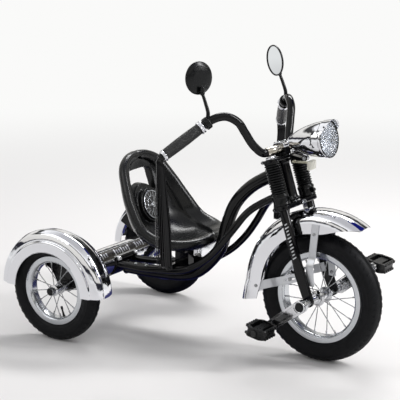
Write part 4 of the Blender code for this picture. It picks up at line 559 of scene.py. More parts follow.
def dropped(*objects):
    for obj in objects:
        bpy.data.objects.remove(obj, do_unlink=True)


def carved(base, tools, operation="DIFFERENCE"):
    """Cut the tools out of the base, or join them to it."""
    target = linked("target", base)
    helpers = [linked("tool", tool) for tool in tools]
    for helper in helpers:
        modifier = target.modifiers.new("carve", "BOOLEAN")
        modifier.operation = operation
        modifier.solver = "EXACT"
        modifier.object = helper
    bm = evaluated(target)
    dropped(target, *helpers)
    bmesh.ops.remove_doubles(bm, verts=bm.verts, dist=1e-6)
    return bm


def piece(name, bm, finish, body, stands_for=(), place=None, sharp=38.0, bevel=0.0):
    """Finish a mesh as a visible piece that rides on a body."""
    if place is not None:
        moved(bm, place)
    obj = linked(name, bm)
    obj.data.materials.append(FINISH[finish])
    obj.data.shade_smooth()
    obj.data.set_sharp_from_angle(angle=math.radians(sharp))
    if bevel:
        edge = obj.modifiers.new("eased edges", "BEVEL")
        edge.width = bevel
        edge.segments = 2
        edge.limit_method = "ANGLE"
        edge.angle_limit = math.radians(40)
    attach(obj, body)
    if stands_for:
        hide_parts(*stands_for)
    return obj


# Geometry node trees

def new_tree(name, inputs):
    """A tree with named inputs, which always has a material, and its input sockets by name."""
    tree = bpy.data.node_groups.new(name, "GeometryNodeTree")
    tree.interface.new_socket("Geometry", in_out="INPUT", socket_type="NodeSocketGeometry")
    for label, kind in inputs + [("Material", "Material")]:
        tree.interface.new_socket(label, in_out="INPUT", socket_type="NodeSocket" + kind)
    tree.interface.new_socket("Geometry", in_out="OUTPUT", socket_type="NodeSocketGeometry")
    entry = tree.nodes.new("NodeGroupInput")
    return tree, {socket.name: socket for socket in entry.outputs if socket.name}


def finish_tree(tree, geometry, material):
    whole = add_node(tree, "GeometryNodeRealizeInstances", {}, {"Geometry": geometry})
    painted = add_node(tree, "GeometryNodeSetMaterial", {}, {"Geometry": whole, "Material": material})
    add_node(tree, "NodeGroupOutput", {}, {0: painted})
    return tree


def calc(tree, operation, a, b=0.0):
    return add_node(tree, "ShaderNodeMath", {"operation": operation}, {0: a, 1: b})


def vector_calc(tree, operation, a, b, output=0):
    return add_node(tree, "ShaderNodeVectorMath", {"operation": operation}, {0: a, 1: b}, output)


def plus_minus(tree, number):
    """Minus one for an even number and one for an odd one."""
    sign = calc(tree, "MULTIPLY_ADD", calc(tree, "MODULO", number, 2.0), 2.0)
    sign.node.inputs[2].default_value = -1.0
    return sign


def turned_share(tree, number, count):
    """The angle of a numbered copy out of a count that goes once round."""
    return calc(tree, "MULTIPLY", calc(tree, "DIVIDE", number, count), 2 * math.pi)


def shape_copies(tree, given, points, **feeds):
    """The given shape on each point."""
    shape = add_node(tree, "GeometryNodeObjectInfo", {}, {"Object": given["Shape"]}, "Geometry")
    return add_node(tree, "GeometryNodeInstanceOnPoints", {}, dict(feeds, Points=points, Instance=shape))


def spoke_tree():
    """Spokes between a hub and a rim, from the two flanges in turn and leaning in pairs."""
    tree, given = new_tree("spokes", [("Count", "Int"), ("Hub radius", "Float"), ("Hub half", "Float"),
                                      ("Rim radius", "Float"), ("Rim half", "Float"),
                                      ("Lean", "Float"), ("Thickness", "Float")])
    index = add_node(tree, "GeometryNodeInputIndex")
    angle = turned_share(tree, calc(tree, "ADD", index, 0.5), given["Count"])
    side = plus_minus(tree, index)
    sign = plus_minus(tree, calc(tree, "FLOOR", calc(tree, "DIVIDE", index, 2.0)))
    hub_angle = calc(tree, "ADD", angle, calc(tree, "MULTIPLY", sign, given["Lean"]))
    ends = []
    for radius, half, where in ((given["Hub radius"], given["Hub half"], hub_angle),
                                (given["Rim radius"], given["Rim half"], angle)):
        ends.append(add_node(tree, "ShaderNodeCombineXYZ", {}, {
            "X": calc(tree, "MULTIPLY", radius, calc(tree, "COSINE", where)),
            "Y": calc(tree, "MULTIPLY", half, side),
            "Z": calc(tree, "MULTIPLY", radius, calc(tree, "SINE", where))}))
    reach = vector_calc(tree, "SUBTRACT", ends[1], ends[0])
    length = add_node(tree, "ShaderNodeVectorMath", {"operation": "LENGTH"}, {0: reach}, "Value")
    middle = vector_calc(tree, "ADD", ends[1], ends[0])
    centre = add_node(tree, "ShaderNodeVectorMath", {"operation": "SCALE"}, {0: middle, "Scale": 0.5})
    points = add_node(tree, "GeometryNodePoints", {}, {"Count": given["Count"], "Position": centre})
    wire = add_node(tree, "GeometryNodeMeshCylinder", {},
                    {"Vertices": 10, "Radius": 1.0, "Depth": 1.0}, "Mesh")
    aim = add_node(tree, "FunctionNodeAlignRotationToVector", {"axis": "Z"}, {"Vector": reach})
    size = add_node(tree, "ShaderNodeCombineXYZ", {},
                    {"X": given["Thickness"], "Y": given["Thickness"], "Z": length})
    copies = add_node(tree, "GeometryNodeInstanceOnPoints", {},
                      {"Points": points, "Instance": wire, "Rotation": aim, "Scale": size})
    return finish_tree(tree, copies, given["Material"])


def ring_tree():
    """Copies of one shape turned about the Y axis."""
    tree, given = new_tree("ring of copies", [("Shape", "Object"), ("Count", "Int"), ("Phase", "Float")])
    index = add_node(tree, "GeometryNodeInputIndex")
    angle = turned_share(tree, calc(tree, "ADD", index, given["Phase"]), given["Count"])
    points = add_node(tree, "GeometryNodePoints", {}, {"Count": given["Count"]})
    twist = add_node(tree, "ShaderNodeCombineXYZ", {}, {"Y": angle})
    copies = shape_copies(tree, given, points, Rotation=twist)
    return finish_tree(tree, copies, given["Material"])


def row_tree():
    """Copies of one shape in a straight row."""
    tree, given = new_tree("row of copies", [("Shape", "Object"), ("Count", "Int"), ("Step", "Vector")])
    index = add_node(tree, "GeometryNodeInputIndex")
    place = add_node(tree, "ShaderNodeVectorMath", {"operation": "SCALE"},
                     {0: given["Step"], "Scale": index})
    points = add_node(tree, "GeometryNodePoints", {}, {"Count": given["Count"], "Position": place})
    return finish_tree(tree, shape_copies(tree, given, points), given["Material"])


def scatter_tree():
    """One shape on each point, standing along the point's own aim and scaled by its size."""
    tree, given = new_tree("fasteners", [("Shape", "Object")])
    aim = add_node(tree, "GeometryNodeInputNamedAttribute", {"data_type": "FLOAT_VECTOR"},
                   {"Name": "aim"})
    size = add_node(tree, "GeometryNodeInputNamedAttribute", {"data_type": "FLOAT"}, {"Name": "size"})
    twist = add_node(tree, "FunctionNodeAlignRotationToVector", {"axis": "Z"}, {"Vector": aim})
    copies = shape_copies(tree, given, given["Geometry"], Rotation=twist, Scale=size)
    return finish_tree(tree, copies, given["Material"])


def ribbon_tree():
    """Flat ribbons with rounded edges along drawn lines."""
    tree, given = new_tree("ribbons", [("Width", "Float"), ("Thickness", "Float")])
    lines = add_node(tree, "GeometryNodeMeshToCurve", {}, {"Mesh": given["Geometry"]})
    ring = add_node(tree, "GeometryNodeCurvePrimitiveCircle", {}, {"Resolution": 10, "Radius": 0.5},
                    "Curve")
    size = add_node(tree, "ShaderNodeCombineXYZ", {},
                    {"X": given["Width"], "Y": given["Thickness"], "Z": 1.0})
    section = add_node(tree, "GeometryNodeTransform", {}, {"Geometry": ring, "Scale": size})
    band = add_node(tree, "GeometryNodeCurveToMesh", {},
                    {"Curve": lines, "Profile Curve": section, "Fill Caps": True})
    return finish_tree(tree, band, given["Material"])


def grown(name, tree, settings, finish, body, base=None, place=None, sharp=40.0):
    """Run a node tree on a base mesh and keep the result as a plain piece."""
    host = linked("host", base or bmesh.new())
    modifier = host.modifiers.new("grow", "NODES")
    modifier.node_group = tree
    values = dict(settings, Material=FINISH[finish])
    for socket in tree.interface.items_tree:
        if socket.in_out == "INPUT" and socket.name in values:
            modifier[socket.identifier] = values[socket.name]
    bm = evaluated(host)
    host.modifiers.remove(modifier)
    dropped(host)
    if place is not None and place.determinant() < 0:
        bmesh.ops.reverse_faces(bm, faces=bm.faces)
    return piece(name, bm, finish, body, place=place, sharp=sharp)


def ring_of(name, solid, count, finish, body, place, phase=0.0):
    """A ring of copies of one solid about the Y axis, as one piece."""
    tree = bpy.data.node_groups.get("ring of copies") or ring_tree()
    shape = linked("shape", solid)
    grown(name, tree, {"Shape": shape, "Count": count, "Phase": phase}, finish, body, place=place)
    dropped(shape)


# Wheels

# Each wheel's radius and tyre width, the rim's edge and half width, and the hub's half length,
# flange radius and middle radius
WHEELS = {
    "front": {"radius": 0.1575, "width": 0.054, "flange": 0.1115, "half": 0.016, "hub": 0.026,
              "hub_flange": 0.019, "barrel": 0.011},
    "rear": {"radius": REAR_RADIUS, "width": 0.044, "flange": 0.0865, "half": 0.015, "hub": 0.020,
             "hub_flange": 0.014, "barrel": 0.0086},
}
# How deep the rims are, and how thick at their lips
RIM_DEPTH = 0.0165
RIM_LIP = 0.0025

# Steps of the tyre's curve that carry a moulded rib, and the one with the outer groove
TYRE_RIBS = (8, 18)
TYRE_GROOVE = 38
RIB_HIGH = 0.0006
# The tyre's wall, and the lugs' eased corners and slant
WALL = 0.0035
LUG_EASE = 0.0006
LUG_SLANT = 0.45


def wheel_list():
    return [("front", "front_wheel", "front", UPRIGHT),
            ("rear_r", "rear_wheel_r", "rear", Matrix.Translation(REAR_AXLE["r"])),
            ("rear_l", "rear_wheel_l", "rear", Matrix.Translation(REAR_AXLE["l"]))]


def node_of(part, wheel):
    """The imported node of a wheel's part, such as rear_tyre_r."""
    first, _, tag = wheel.partition("_")
    return first + "_" + part + ("_" + tag if tag else "")


def tyre_profile(size):
    """Outer and inner wall: bulging sides with two moulded ribs, a round shoulder and three
    grooves round the tread."""
    w = size["width"] / 2
    radius = size["radius"]
    flange = size["flange"]
    height = radius - flange
    lip = size["half"] - RIM_LIP - GAP
    curve = smooth_path([(flange, lip, 0), (flange + 0.16 * height, 0.80 * w, 0),
                         (flange + 0.42 * height, w, 0), (flange + 0.70 * height, 0.95 * w, 0),
                         (radius - 0.135 * height, 0.68 * w, 0),
                         (radius - 0.022 * height, 0.30 * w, 0), (radius, 0.0, 0)], 7)
    outer = [(flange - 0.006, lip - 0.002)]
    for i, point in enumerate(curve[:-1]):
        r, a = point.x, point.y
        if i in TYRE_RIBS:
            a += RIB_HIGH
        outer.append((r, a))
        if i == TYRE_GROOVE:
            outer += [(r - 0.0016, a - 0.0004), (r - 0.0016, a - 0.0018), (r, a - 0.0022)]
    outer = [p for p in outer if p[1] > 0.0016]
    outer += [(radius - 0.0002, 0.0014), (radius - 0.0020, 0.0008)]
    inner = [(radius - 0.0045, 0.0), (radius - 0.0045, 0.2 * w),
             (flange + 0.7 * height, 0.94 * w - WALL), (flange + 0.42 * height, w - WALL),
             (flange - 0.006, lip - 0.006)]
    far_side = [(r, -a) for r, a in reversed(outer)] + [(r, -a) for r, a in inner[::-1]]
    return outer + far_side + inner[1:]


def tread_lugs(size):
    """One raised lug for each shoulder, slanted across it."""
    w = size["width"] / 2
    r = size["radius"]
    height = r - size["flange"]
    lugs = []
    for side in (1, -1):
        outline = [(r - down * height, side * share * w)
                   for down, share in ((0.30, 0.90), (0.115, 0.70), (0.045, 0.46), (0.070, 0.46),
                                       (0.150, 0.64), (0.31, 0.84))]
        rings = []
        for across, lift in ((-0.0030, -0.0008), (-0.0024, 0.0), (0.0024, 0.0), (0.0030, -0.0008)):
            rings.append([Vector((a + lift + 0.0002, b, across + LUG_SLANT * (b - 0.5 * w * side)))
                          for a, b in rounded(outline, LUG_EASE, 1)])
        lugs.append(loft(rings))
    return merged(*lugs)


def build_tyres(sizes):
    for wheel, body, kind, place in wheel_list():
        size = WHEELS[kind]
        tyre = revolve(tyre_profile(size), 112, "Y")
        piece("tyre_" + wheel, tyre, "tyre", body, [node_of("tyre", wheel)], place, sharp=28.0)
        count = int(sizes.tread_lugs * size["radius"] / WHEELS["front"]["radius"])
        ring_of("lugs_" + wheel, tread_lugs(size), count, "tyre", body, place)


# Where the valve stands round each wheel, in degrees
VALVE_AT = {"front": 150.0, "rear": -72.0}


def build_rims(sizes):
    for wheel, body, kind, place in wheel_list():
        size = WHEELS[kind]
        f, h = size["flange"], size["half"]
        floor = f - RIM_DEPTH
        profile = [(f, -h + 0.0004), (f - 0.0120, -h), (floor, -h + 0.0055), (floor, h - 0.0055),
                   (f - 0.0120, h), (f, h - 0.0004), (f + 0.0004, h - 0.0012), (f, h - 0.0020),
                   (f - 0.0100, h - RIM_LIP), (floor + 0.0018, h - 0.0068),
                   (floor + 0.0018, -h + 0.0068), (f - 0.0100, -h + RIM_LIP), (f, -h + 0.0020),
                   (f + 0.0004, -h + 0.0012)]
        rim = turned(profile, 0.0016, 3, 112, "Y")
        piece("rim_" + wheel, rim, "rim", body, [node_of("rim", wheel)], place, sharp=50.0)
        angle = math.radians(VALVE_AT[kind])
        out = Vector((math.cos(angle), 0.0, math.sin(angle)))
        stem = turned([(0, 0), (0.0034, 0), (0.0030, 0.006), (0.0024, 0.010), (0.0024, 0.019),
                       (0.0030, 0.0195), (0.0030, 0.026), (0, 0.027)], 0.0005, 2, 20)
        moved(stem, facing(out * (floor - 0.0002), -out))
        piece("valve_" + wheel, stem, "rubber", body, place=place)


# How far the hub's flanges sit in from its ends, how far from its middle plane the spokes meet the
# rim, and their lean in degrees
FLANGE_IN = 0.006
RIM_HALF = 0.004
SPOKE_LEAN = 16


def hub_side(size, kind):
    """Half a hub's outline from its middle out, with the front axle's sleeves and nuts."""
    half, flange, barrel = size["hub"], size["hub_flange"], size["barrel"]
    edge = half - FLANGE_IN
    side = [(barrel, 0.0), (barrel, edge - 0.0035), (flange, edge - 0.0030), (flange, edge),
            (0.66 * flange, edge + 0.0015)]
    if kind == "rear":
        return side + [(0.0095, half), (0.0054, half)]
    return side + [(0.0125, half), (0.008, half), (0.008, 0.0547), (0.0055, 0.0547), (0.0055, 0.0653),
                   (0.009, 0.0653), (0.009, 0.0700), (0.0075, 0.0715), (0.0075, 0.0900),
                   (0.009, 0.0905), (0.009, 0.0917), (0.0055, 0.0917), (0.0055, 0.1035), (0.0, 0.1035)]


def build_hubs(sizes):
    tree = spoke_tree()
    for wheel, body, kind, place in wheel_list():
        size = WHEELS[kind]
        shell = turned(both_ways(hub_side(size, kind)), 0.0007, 2, 48, "Y")
        piece("hub_" + wheel, shell, "crank", body, [node_of("hub", wheel)], place)
        count = sizes.front_spokes if kind == "front" else sizes.rear_spokes
        floor = size["flange"] - RIM_DEPTH
        settings = {"Count": count, "Hub radius": size["hub_flange"] - 0.0028,
                    "Hub half": size["hub"] - FLANGE_IN - 0.0015, "Rim radius": floor + 0.0008,
                    "Rim half": RIM_HALF, "Lean": math.radians(SPOKE_LEAN),
                    "Thickness": sizes.spoke_radius}
        grown("spokes_" + wheel, tree, settings, "zinc", body, place=place)
        nipple = turned([(0, 0), (0.0019, 0), (0.0019, 0.008), (0.0013, 0.0095), (0, 0.0095)], 0.0004,
                        1, 10)
        heads = []
        for y, lead in ((-RIM_HALF, 0.0), (RIM_HALF, 1.0)):
            angle = 2 * math.pi * (lead + 0.5) / count
            out = Vector((math.cos(angle), 0, math.sin(angle)))
            heads.append(moved(nipple.copy(), facing(out * (floor - 0.0001) + Vector((0, y, 0)), -out)))
        nipple.free()
        ring_of("nipples_" + wheel, merged(*heads), count // 2, "zinc", body, place)


# Frame

MAIN_PATH = [(0.5020, 0, 0.4515), (0.4550, 0, 0.4265), (0.4140, 0, 0.4000), (0.3690, 0, 0.3510),
             (0.3440, 0, 0.2900), (0.3310, 0, 0.2410), (0.2960, 0, 0.1910), (0.2520, 0, 0.1560),
             (0.2130, 0, 0.1450), (0.1560, 0, 0.1400), (0.0600, 0, 0.1365), (0.0430, 0, 0.1365)]
LOWER_PATH = [(0.5095, 0.0120, 0.3970), (0.4720, 0.0130, 0.3780), (0.4320, 0.0400, 0.3490),
              (0.3960, 0.0550, 0.3000), (0.3630, 0.0600, 0.2560), (0.3230, 0.0600, 0.2160),
              (0.2620, 0.0590, 0.1790), (0.1900, 0.0530, 0.1650), (0.1180, 0.0420, 0.1540),
              (0.0620, 0.0350, 0.1520), (0.0440, 0.0350, 0.1520)]
MAIN_R = 0.016
LOWER_R = 0.009
BEAM_R = 0.035
BEAM_HALF = 0.1902
# The saddle's wrap round the beam, in degrees below and above its front, and its half width
SADDLE_WRAP = (-70, 27)
SADDLE_HALF = 0.045
# The printed band along the beam, in three stretches: both ends, the angle it starts at and the
# angle of its lower line. The middle one starts higher, above the saddle.
BAND = ((-0.188, -0.0455, 20, 22.0), (-0.0455, 0.0455, 28, 29.5), (0.0455, 0.188, 20, 22.0))
BAND_TOP = 73
BAND_LINE = 2.0
# The band's ticks: their pitch, width and slant, and the angles of the short and the long ones
TICK_PITCH = 0.0098
TICK_WIDE = 0.0048
TICK_SLANT = 0.22
SHORT_TICK = (38.0, 56.0)
LONG_TICK = (34.0, 62.0)


def mirror_path(path, side):
    return [(x, side * y, z) for x, y, z in path]


def build_frame_tubes(sizes):
    path = smooth_path(MAIN_PATH, 8)
    piece("tube_main", sweep(path, MAIN_R, 32), "enamel", "frame", ["main_tube"], TRIKE)
    for tag, side in SIDES:
        lower = sweep(smooth_path(mirror_path(LOWER_PATH, side), 8), LOWER_R, 24)
        piece("tube_lower_" + tag, lower, "enamel", "frame", ["lower_tube_" + tag], TRIKE)
    hole = 0.0131
    low, high, r, cup = 0.2350, 0.3350, 0.017, 0.0190
    waist = r - 0.0018
    profile = [(hole, low), (cup, low), (cup, low + 0.006), (r, low + 0.0068), (waist, low + 0.011),
               (waist, high - 0.011), (r, high - 0.0068), (cup, high - 0.006), (cup, high),
               (hole, high)]
    head = turned(profile, 0.0008, 3, 64)
    piece("head", head, "enamel", "frame", ["head_tube"], FORK)
    beads = []
    for x, z, radius, ahead in ((0.489, 0.4445, 0.0170, (0.9, 0, 0.44)),
                                (0.0440, 0.1365, 0.0168, (1, 0, 0))):
        ring = arc((0, 0), radius, 0, 360, 40)
        loop = [Vector((a, b, 0.0005 * math.sin(9 * k))) for k, (a, b) in enumerate(ring[:-1])]
        rings = []
        for k, p in enumerate(loop):
            out = Vector((p.x, p.y, 0)).normalized()
            rings.append([p + out * 0.0016 * math.cos(t) + Vector((0, 0, 0.0024 * math.sin(t)))
                          for t in (math.pi * 2 * q / 8 for q in range(8))])
        beads.append(moved(loft(rings, closed=True), facing((x, 0, z), ahead)))
    piece("weld_beads", merged(*beads), "enamel", "frame", place=TRIKE)


def build_beam(sizes):
    lip = BEAM_R - 0.0020
    profile = [(lip, -BEAM_HALF), (BEAM_R, -BEAM_HALF), (BEAM_R, BEAM_HALF), (lip, BEAM_HALF)]
    beam = turned(profile, 0.0009, 3, 96, "Y")
    piece("beam", beam, "chrome", "frame", ["axle_beam"], BEAM, sharp=50)
    outer, wall = BEAM_R + 0.0042, 0.0042 - GAP
    outline = rounded(shell_patch(outer, wall, *SADDLE_WRAP, 20), 0.0008, 2)
    saddle = prism(outline, -SADDLE_HALF, SADDLE_HALF, "Y")
    piece("saddle", saddle, "enamel", "frame", ["axle_saddle"], BEAM, bevel=0.0008)
    build_band()


def build_band():
    """The printed band: dark patches, a pale line at each edge and slanted ticks between."""
    patches = []
    lines = []
    radius = BEAM_R + 0.00038
    for start, end, low, foot in BAND:
        patches.append(prism(shell_patch(BEAM_R + 0.00025, 0.0002, low, BAND_TOP, 16), start, end, "Y"))
        for edge in (foot, BAND_TOP - 2 * BAND_LINE):
            line = shell_patch(radius, 0.0003, edge, edge + BAND_LINE, 2)
            lines.append(prism(line, start, end, "Y"))
        for k in range(int((end - start - 0.016) / TICK_PITCH)):
            reach = SHORT_TICK if k % 3 else LONG_TICK
            tick = prism(shell_patch(radius, 0.0003, *reach, 5), 0.0, TICK_WIDE, "Y")
            spot = start + 0.010 + TICK_PITCH * k
            for vertex in tick.verts:
                vertex.co.y += spot + TICK_SLANT * (vertex.co.z - 0.024)
            lines.append(tick)
    piece("beam_panel", merged(*patches), "olive", "frame", place=BEAM)
    piece("beam_lines", merged(*lines), "stripe", "frame", place=BEAM)


def build_axle(sizes):
    plate_out = BEAM_HALF + GAP + PLATE_T + GAP
    hub_in, hub_out = TRACK - 0.020 - GAP, TRACK + 0.020 + GAP
    half = [(0.005, 0.0), (0.005, plate_out), (0.009, plate_out), (0.009, hub_in), (0.005, hub_in),
            (0.005, hub_out), (0.0088, hub_out), (0.0105, hub_out + 0.0015), (0.0105, hub_out + 0.0055),
            (0.0088, hub_out + 0.0088), (0.0045, hub_out + 0.0100), (0.0, hub_out + 0.0102)]
    axle = turned(both_ways(half), 0.0006, 2, 40, "Y")
    piece("axle", axle, "zinc", "frame", ["rear_axle"], AXLE)
    for tag, side in SIDES:
        cap = turned([(0, 0), (0.0098, 0), (0.0092, 0.0040), (0.006, 0.0062), (0, 0.0068)], 0.001, 3,
                     32, "Y")
        shifted(cap, 0, hub_out + 0.0045, 0)
        piece("axle_cap_" + tag, on_side(cap, side), "plastic", "frame", place=AXLE)


def build_plates(sizes):
    start, end = 72, 150
    front = math.radians(start)
    reach = 0.133
    for tag, side in SIDES:
        outline = arc((0, 0), 0.016, 205, 320, 10)
        outline += [(0.035, 0.002), (0.043, 0.016), (0.043, 0.048),
                    (reach * math.cos(front), reach * math.sin(front) - 0.020)]
        outline += arc((0, 0), reach, start, end, 28)
        outline += [(-0.071, 0.043), (-0.052, 0.034), (-0.041, 0.020), (-0.034, 0.002)]
        y0 = BEAM_HALF + GAP
        plate = prism(rounded(outline, 0.004, 3), y0, y0 + PLATE_T, "Y")
        hole = shifted(rod(0.0056, -0.01, 0.01, 24, "Y", 0), 0, y0, 0)
        plate = on_side(carved(plate, [hole]), side)
        piece("plate_" + tag, plate, "enamel", "frame", ["fender_plate_" + tag],
              AXLE, bevel=0.0005)


# Where the rear fenders begin above the front of the wheel and how far they reach, in degrees
REAR_FENDER_START = 2.0
REAR_FENDER_SPAN = 176.0


def build_rear_fenders(sizes):
    line = [(0.0395, 0.1015), (0.0395, 0.1275), (0.0340, 0.1290), (0.0340, 0.1340), (0.0280, 0.1480),
            (0.0140, 0.1550), (-0.0100, 0.1530), (-0.0340, 0.1440), (-0.0420, 0.1370),
            (-0.0420, 0.1180)]
    eased = rounded(line, 0.0045, 5, closed=False)
    hem = [(0.0378, 0.1030), (0.0386, 0.1008)]
    section = thicken(hem + eased, 0.0016, -1.0)
    for tag, side in SIDES:
        rings = []
        steps = 120
        for i in range(steps + 1):
            angle = math.radians(REAR_FENDER_START + REAR_FENDER_SPAN * i / steps)
            rings.append([Vector((r * math.cos(angle), y, r * math.sin(angle))) for y, r in section])
        fender = on_side(shifted(loft(rings), 0, TRACK, REAR_RADIUS), side)
        piece("fender_rear_" + tag, fender, "chrome", "frame", ["rear_fender_" + tag], TRIKE, sharp=50.0)


# Seat

SEAT_RIM = [(0.078, 0.000, 0.441), (0.080, 0.040, 0.438), (0.086, 0.070, 0.425), (0.112, 0.098, 0.378),
            (0.148, 0.117, 0.320), (0.186, 0.124, 0.277), (0.236, 0.119, 0.261), (0.285, 0.088, 0.256),
            (0.303, 0.050, 0.259), (0.310, 0.000, 0.262)]
SEAT_SPINE = [(0.078, 0, 0.441), (0.066, 0, 0.424), (0.067, 0, 0.404), (0.081, 0, 0.362),
              (0.099, 0, 0.316), (0.119, 0, 0.271), (0.167, 0, 0.235), (0.235, 0, 0.2315),
              (0.280, 0, 0.240), (0.310, 0, 0.262)]
# The seat's thickness
SEAT_T = 0.026
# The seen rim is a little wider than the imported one, and its widest parts lie further forward
SEAT_WIDER = 1.055
SEAT_FORWARD = 0.007
# The dish inside the rolled rim: its depth, where across the seat it starts and how fast it deepens
DISH_DEPTH = 0.0058
DISH_START = 0.655
DISH_EASE = 0.05
# The size of the cells that melt the seat's parts into one moulding
SEAT_VOXEL = 0.0021
BADGE_HIGH = 0.310
BADGE_AT = Vector((0.1165, 0.0, BADGE_HIGH))
BADGE_LEAN = math.radians(21.5)
# The hand hole: half its width, the round it keeps clear of the badge, where its sides end, its
# upper corners' centres and their radius
HOLE_HALF = 0.0475
BADGE_CLEAR = 0.052
HOLE_SIDE = 0.347
HOLE_HIGH = 0.384
HOLE_CORNER = 0.014
# The flat under the seat that the bracket holds: x and y from and to
PAD = (0.196, 0.244, -0.034, 0.034)
PAD_TOP = 0.2163


def badge_frame():
    return facing(BADGE_AT, (math.cos(BADGE_LEAN), 0.0, math.sin(BADGE_LEAN)))


def seat_shell():
    """The bucket with a thick rolled rim and a thinner, dished middle."""
    packed = smooth_path(SEAT_RIM, 7)
    wide = max(abs(p.y) for p in packed)
    rim = [Vector((p.x + SEAT_FORWARD * abs(p.y) / wide, SEAT_WIDER * p.y, p.z)) for p in packed]
    spine = smooth_path(SEAT_SPINE, 7)
    rows = []
    for edge, middle in zip(rim, spine):
        reach = max((edge - middle).length, 1e-6)
        shrink = min(1.0, reach / SEAT_T)
        ranks = []
        for degrees in (0, 15, 30, 45, 60, 75, 90):
            angle = math.radians(degrees)
            ranks.append((1.0 - SEAT_T / 2 * (1 - math.cos(angle)) * shrink / reach, math.sin(angle)))
        inner = ranks[-1][0]
        ranks += [(inner * k / 20, 1.0) for k in range(19, 0, -1)]
        half = [(seat_point(edge, middle, v), h) for v, h in ranks]
        row = [(Vector((p.x, -p.y, p.z)), h) for p, h in half]
        row += [(seat_point(edge, middle, 0.0), 1.0)] + half[::-1]
        rows.append(row)
    last = len(rows) - 1
    rings = []
    for i, row in enumerate(rows):
        middle = len(row) // 2
        end = rows[0] if i < last / 2 else rows[last]
        inset = min((row[middle][0] - end[middle][0]).length / (SEAT_T / 2), 1.0)
        swell = math.sqrt(max(1.0 - (1.0 - inset) ** 2, 0.0))
        above, below = rows[max(i - 1, 0)], rows[min(i + 1, last)]
        top, bottom = [], []
        for j, (point, h) in enumerate(row):
            across = row[min(j + 1, len(row) - 1)][0] - row[max(j - 1, 0)][0]
            normal = (below[j][0] - above[j][0]).cross(across)
            if normal.length > 0:
                normal.normalize()
            rank = abs(j - middle) / middle
            thin = DISH_DEPTH * min(max((DISH_START - rank) / DISH_EASE, 0.0), 1.0) * inset
            top.append(point + normal * (SEAT_T / 2 * h * swell - thin * swell))
            bottom.append(point - normal * (SEAT_T / 2 * h * swell))
        rings.append(top + bottom[-2:0:-1])
    return loft(rings)


def seat_point(edge, middle, v):
    blend = 1.0 - abs(v) ** 3
    return Vector((edge.x + (middle.x - edge.x) * blend, edge.y * v,
                   edge.z + (middle.z - edge.z) * blend))


def hand_hole():
    """The tool that cuts the hand hole above the badge."""
    foot = math.degrees(math.acos(HOLE_HALF / BADGE_CLEAR))
    inner = HOLE_HALF - HOLE_CORNER
    outline = arc((0, BADGE_HIGH), BADGE_CLEAR, 180 - foot, foot, 20) + [(HOLE_HALF, HOLE_SIDE)]
    outline += arc((inner, HOLE_HIGH), HOLE_CORNER, 0, 90, 8)
    outline += arc((-inner, HOLE_HIGH), HOLE_CORNER, 90, 180, 8) + [(-HOLE_HALF, HOLE_SIDE)]
    return prism(outline, 0.01, 0.19, "X")


def build_seat(sizes):
    boss = turned([(0, -0.013), (0.044, -0.013), (0.044, 0.008), (0.0405, 0.008), (0.0385, 0.0068),
                   (0, 0.0068)], 0.0015, 2, 64)
    moved(boss, badge_frame())
    shell = carved(seat_shell(), [hand_hole()])
    seat = linked("seat_source", carved(shell, [boss, box(*PAD, PAD_TOP + GAP, 0.230)], "UNION"))
    remesh = seat.modifiers.new("moulded", "REMESH")
    remesh.mode = "VOXEL"
    remesh.voxel_size = SEAT_VOXEL
    ease = seat.modifiers.new("eased", "SMOOTH")
    ease.factor = 0.5
    ease.iterations = 3
    bm = evaluated(seat)
    dropped(seat)
    piece("seat_bucket", bm, "seat", "frame", ["seat"], TRIKE, sharp=60.0)
    build_badge()
    build_seat_bracket()


def build_badge():
    """A plain disc with rings, rays and ticks."""
    place = TRIKE @ badge_frame() @ Matrix.Translation((0, 0, 0.0002))
    foot = 0.0092
    disc = turned([(0, 0.0068), (0.0370, 0.0068), (0.0370, foot), (0, 0.0096)], 0.0006, 2, 64)
    piece("badge_disc", disc, "dark", "frame", ["seat_badge"], place)
    rings = []
    for inner, outer, high in ((0.0342, 0.0368, 0.0110), (0.0205, 0.0222, 0.0104),
                               (0.0, 0.0072, 0.0112)):
        edge = [(inner, foot), (outer, foot), (outer, high - 0.0004), (0.5 * (inner + outer), high),
                (inner, high - 0.0004)]
        rings.append(turned(edge, 0.0003, 2, 64))
    piece("badge_rings", merged(*rings), "badge", "frame", place=place)
    rays = prism(hull([(0.0095, 0, 0.0012), (0.0185, 0, 0.0022)], 16), foot, 0.0106)
    ticks = prism(hull([(0.0242, 0.0, 0.0013), (0.0318, 0, 0.0013)], 12), foot, 0.0104)
    upright = place @ Matrix.Rotation(-math.pi / 2, 4, "X")
    for name, solid, count, phase in (("badge_rays", rays, 6, 0.0), ("badge_ticks", ticks, 18, 0.5)):
        lying = moved(solid, Matrix.Rotation(math.pi / 2, 4, "X"))
        ring_of(name, lying, count, "badge", "frame", upright, phase)


def build_seat_bracket():
    """The plate under the seat with its leg and crossbar, cut to sit on the three tubes."""
    pad = box(*PAD, PAD_TOP - 0.004, PAD_TOP)
    leg = box(0.200, 0.240, -0.012, 0.012, 0.150, PAD_TOP - 0.003)
    bar = box(0.215, 0.225, -0.067, 0.067, 0.174, 0.186)
    air = 0.0002
    cuts = [sweep(smooth_path(MAIN_PATH, 6), MAIN_R + air, 24)]
    cuts += [sweep(smooth_path(mirror_path(LOWER_PATH, s), 6), LOWER_R + air, 20) for s in (1, -1)]
    bracket = carved(carved(pad, [leg, bar], "UNION"), cuts)
    piece("seat_bracket_plate", bracket, "enamel", "frame", ["seat_bracket"], TRIKE, bevel=0.0006)


# Fork

# The legs' place beside the steerer, their radius, and the bore of the cups and gaiters on them
LEG_X = 0.0076
LEG_Y = 0.060
LEG_R = 0.0115
LEG_BORE = 0.0098
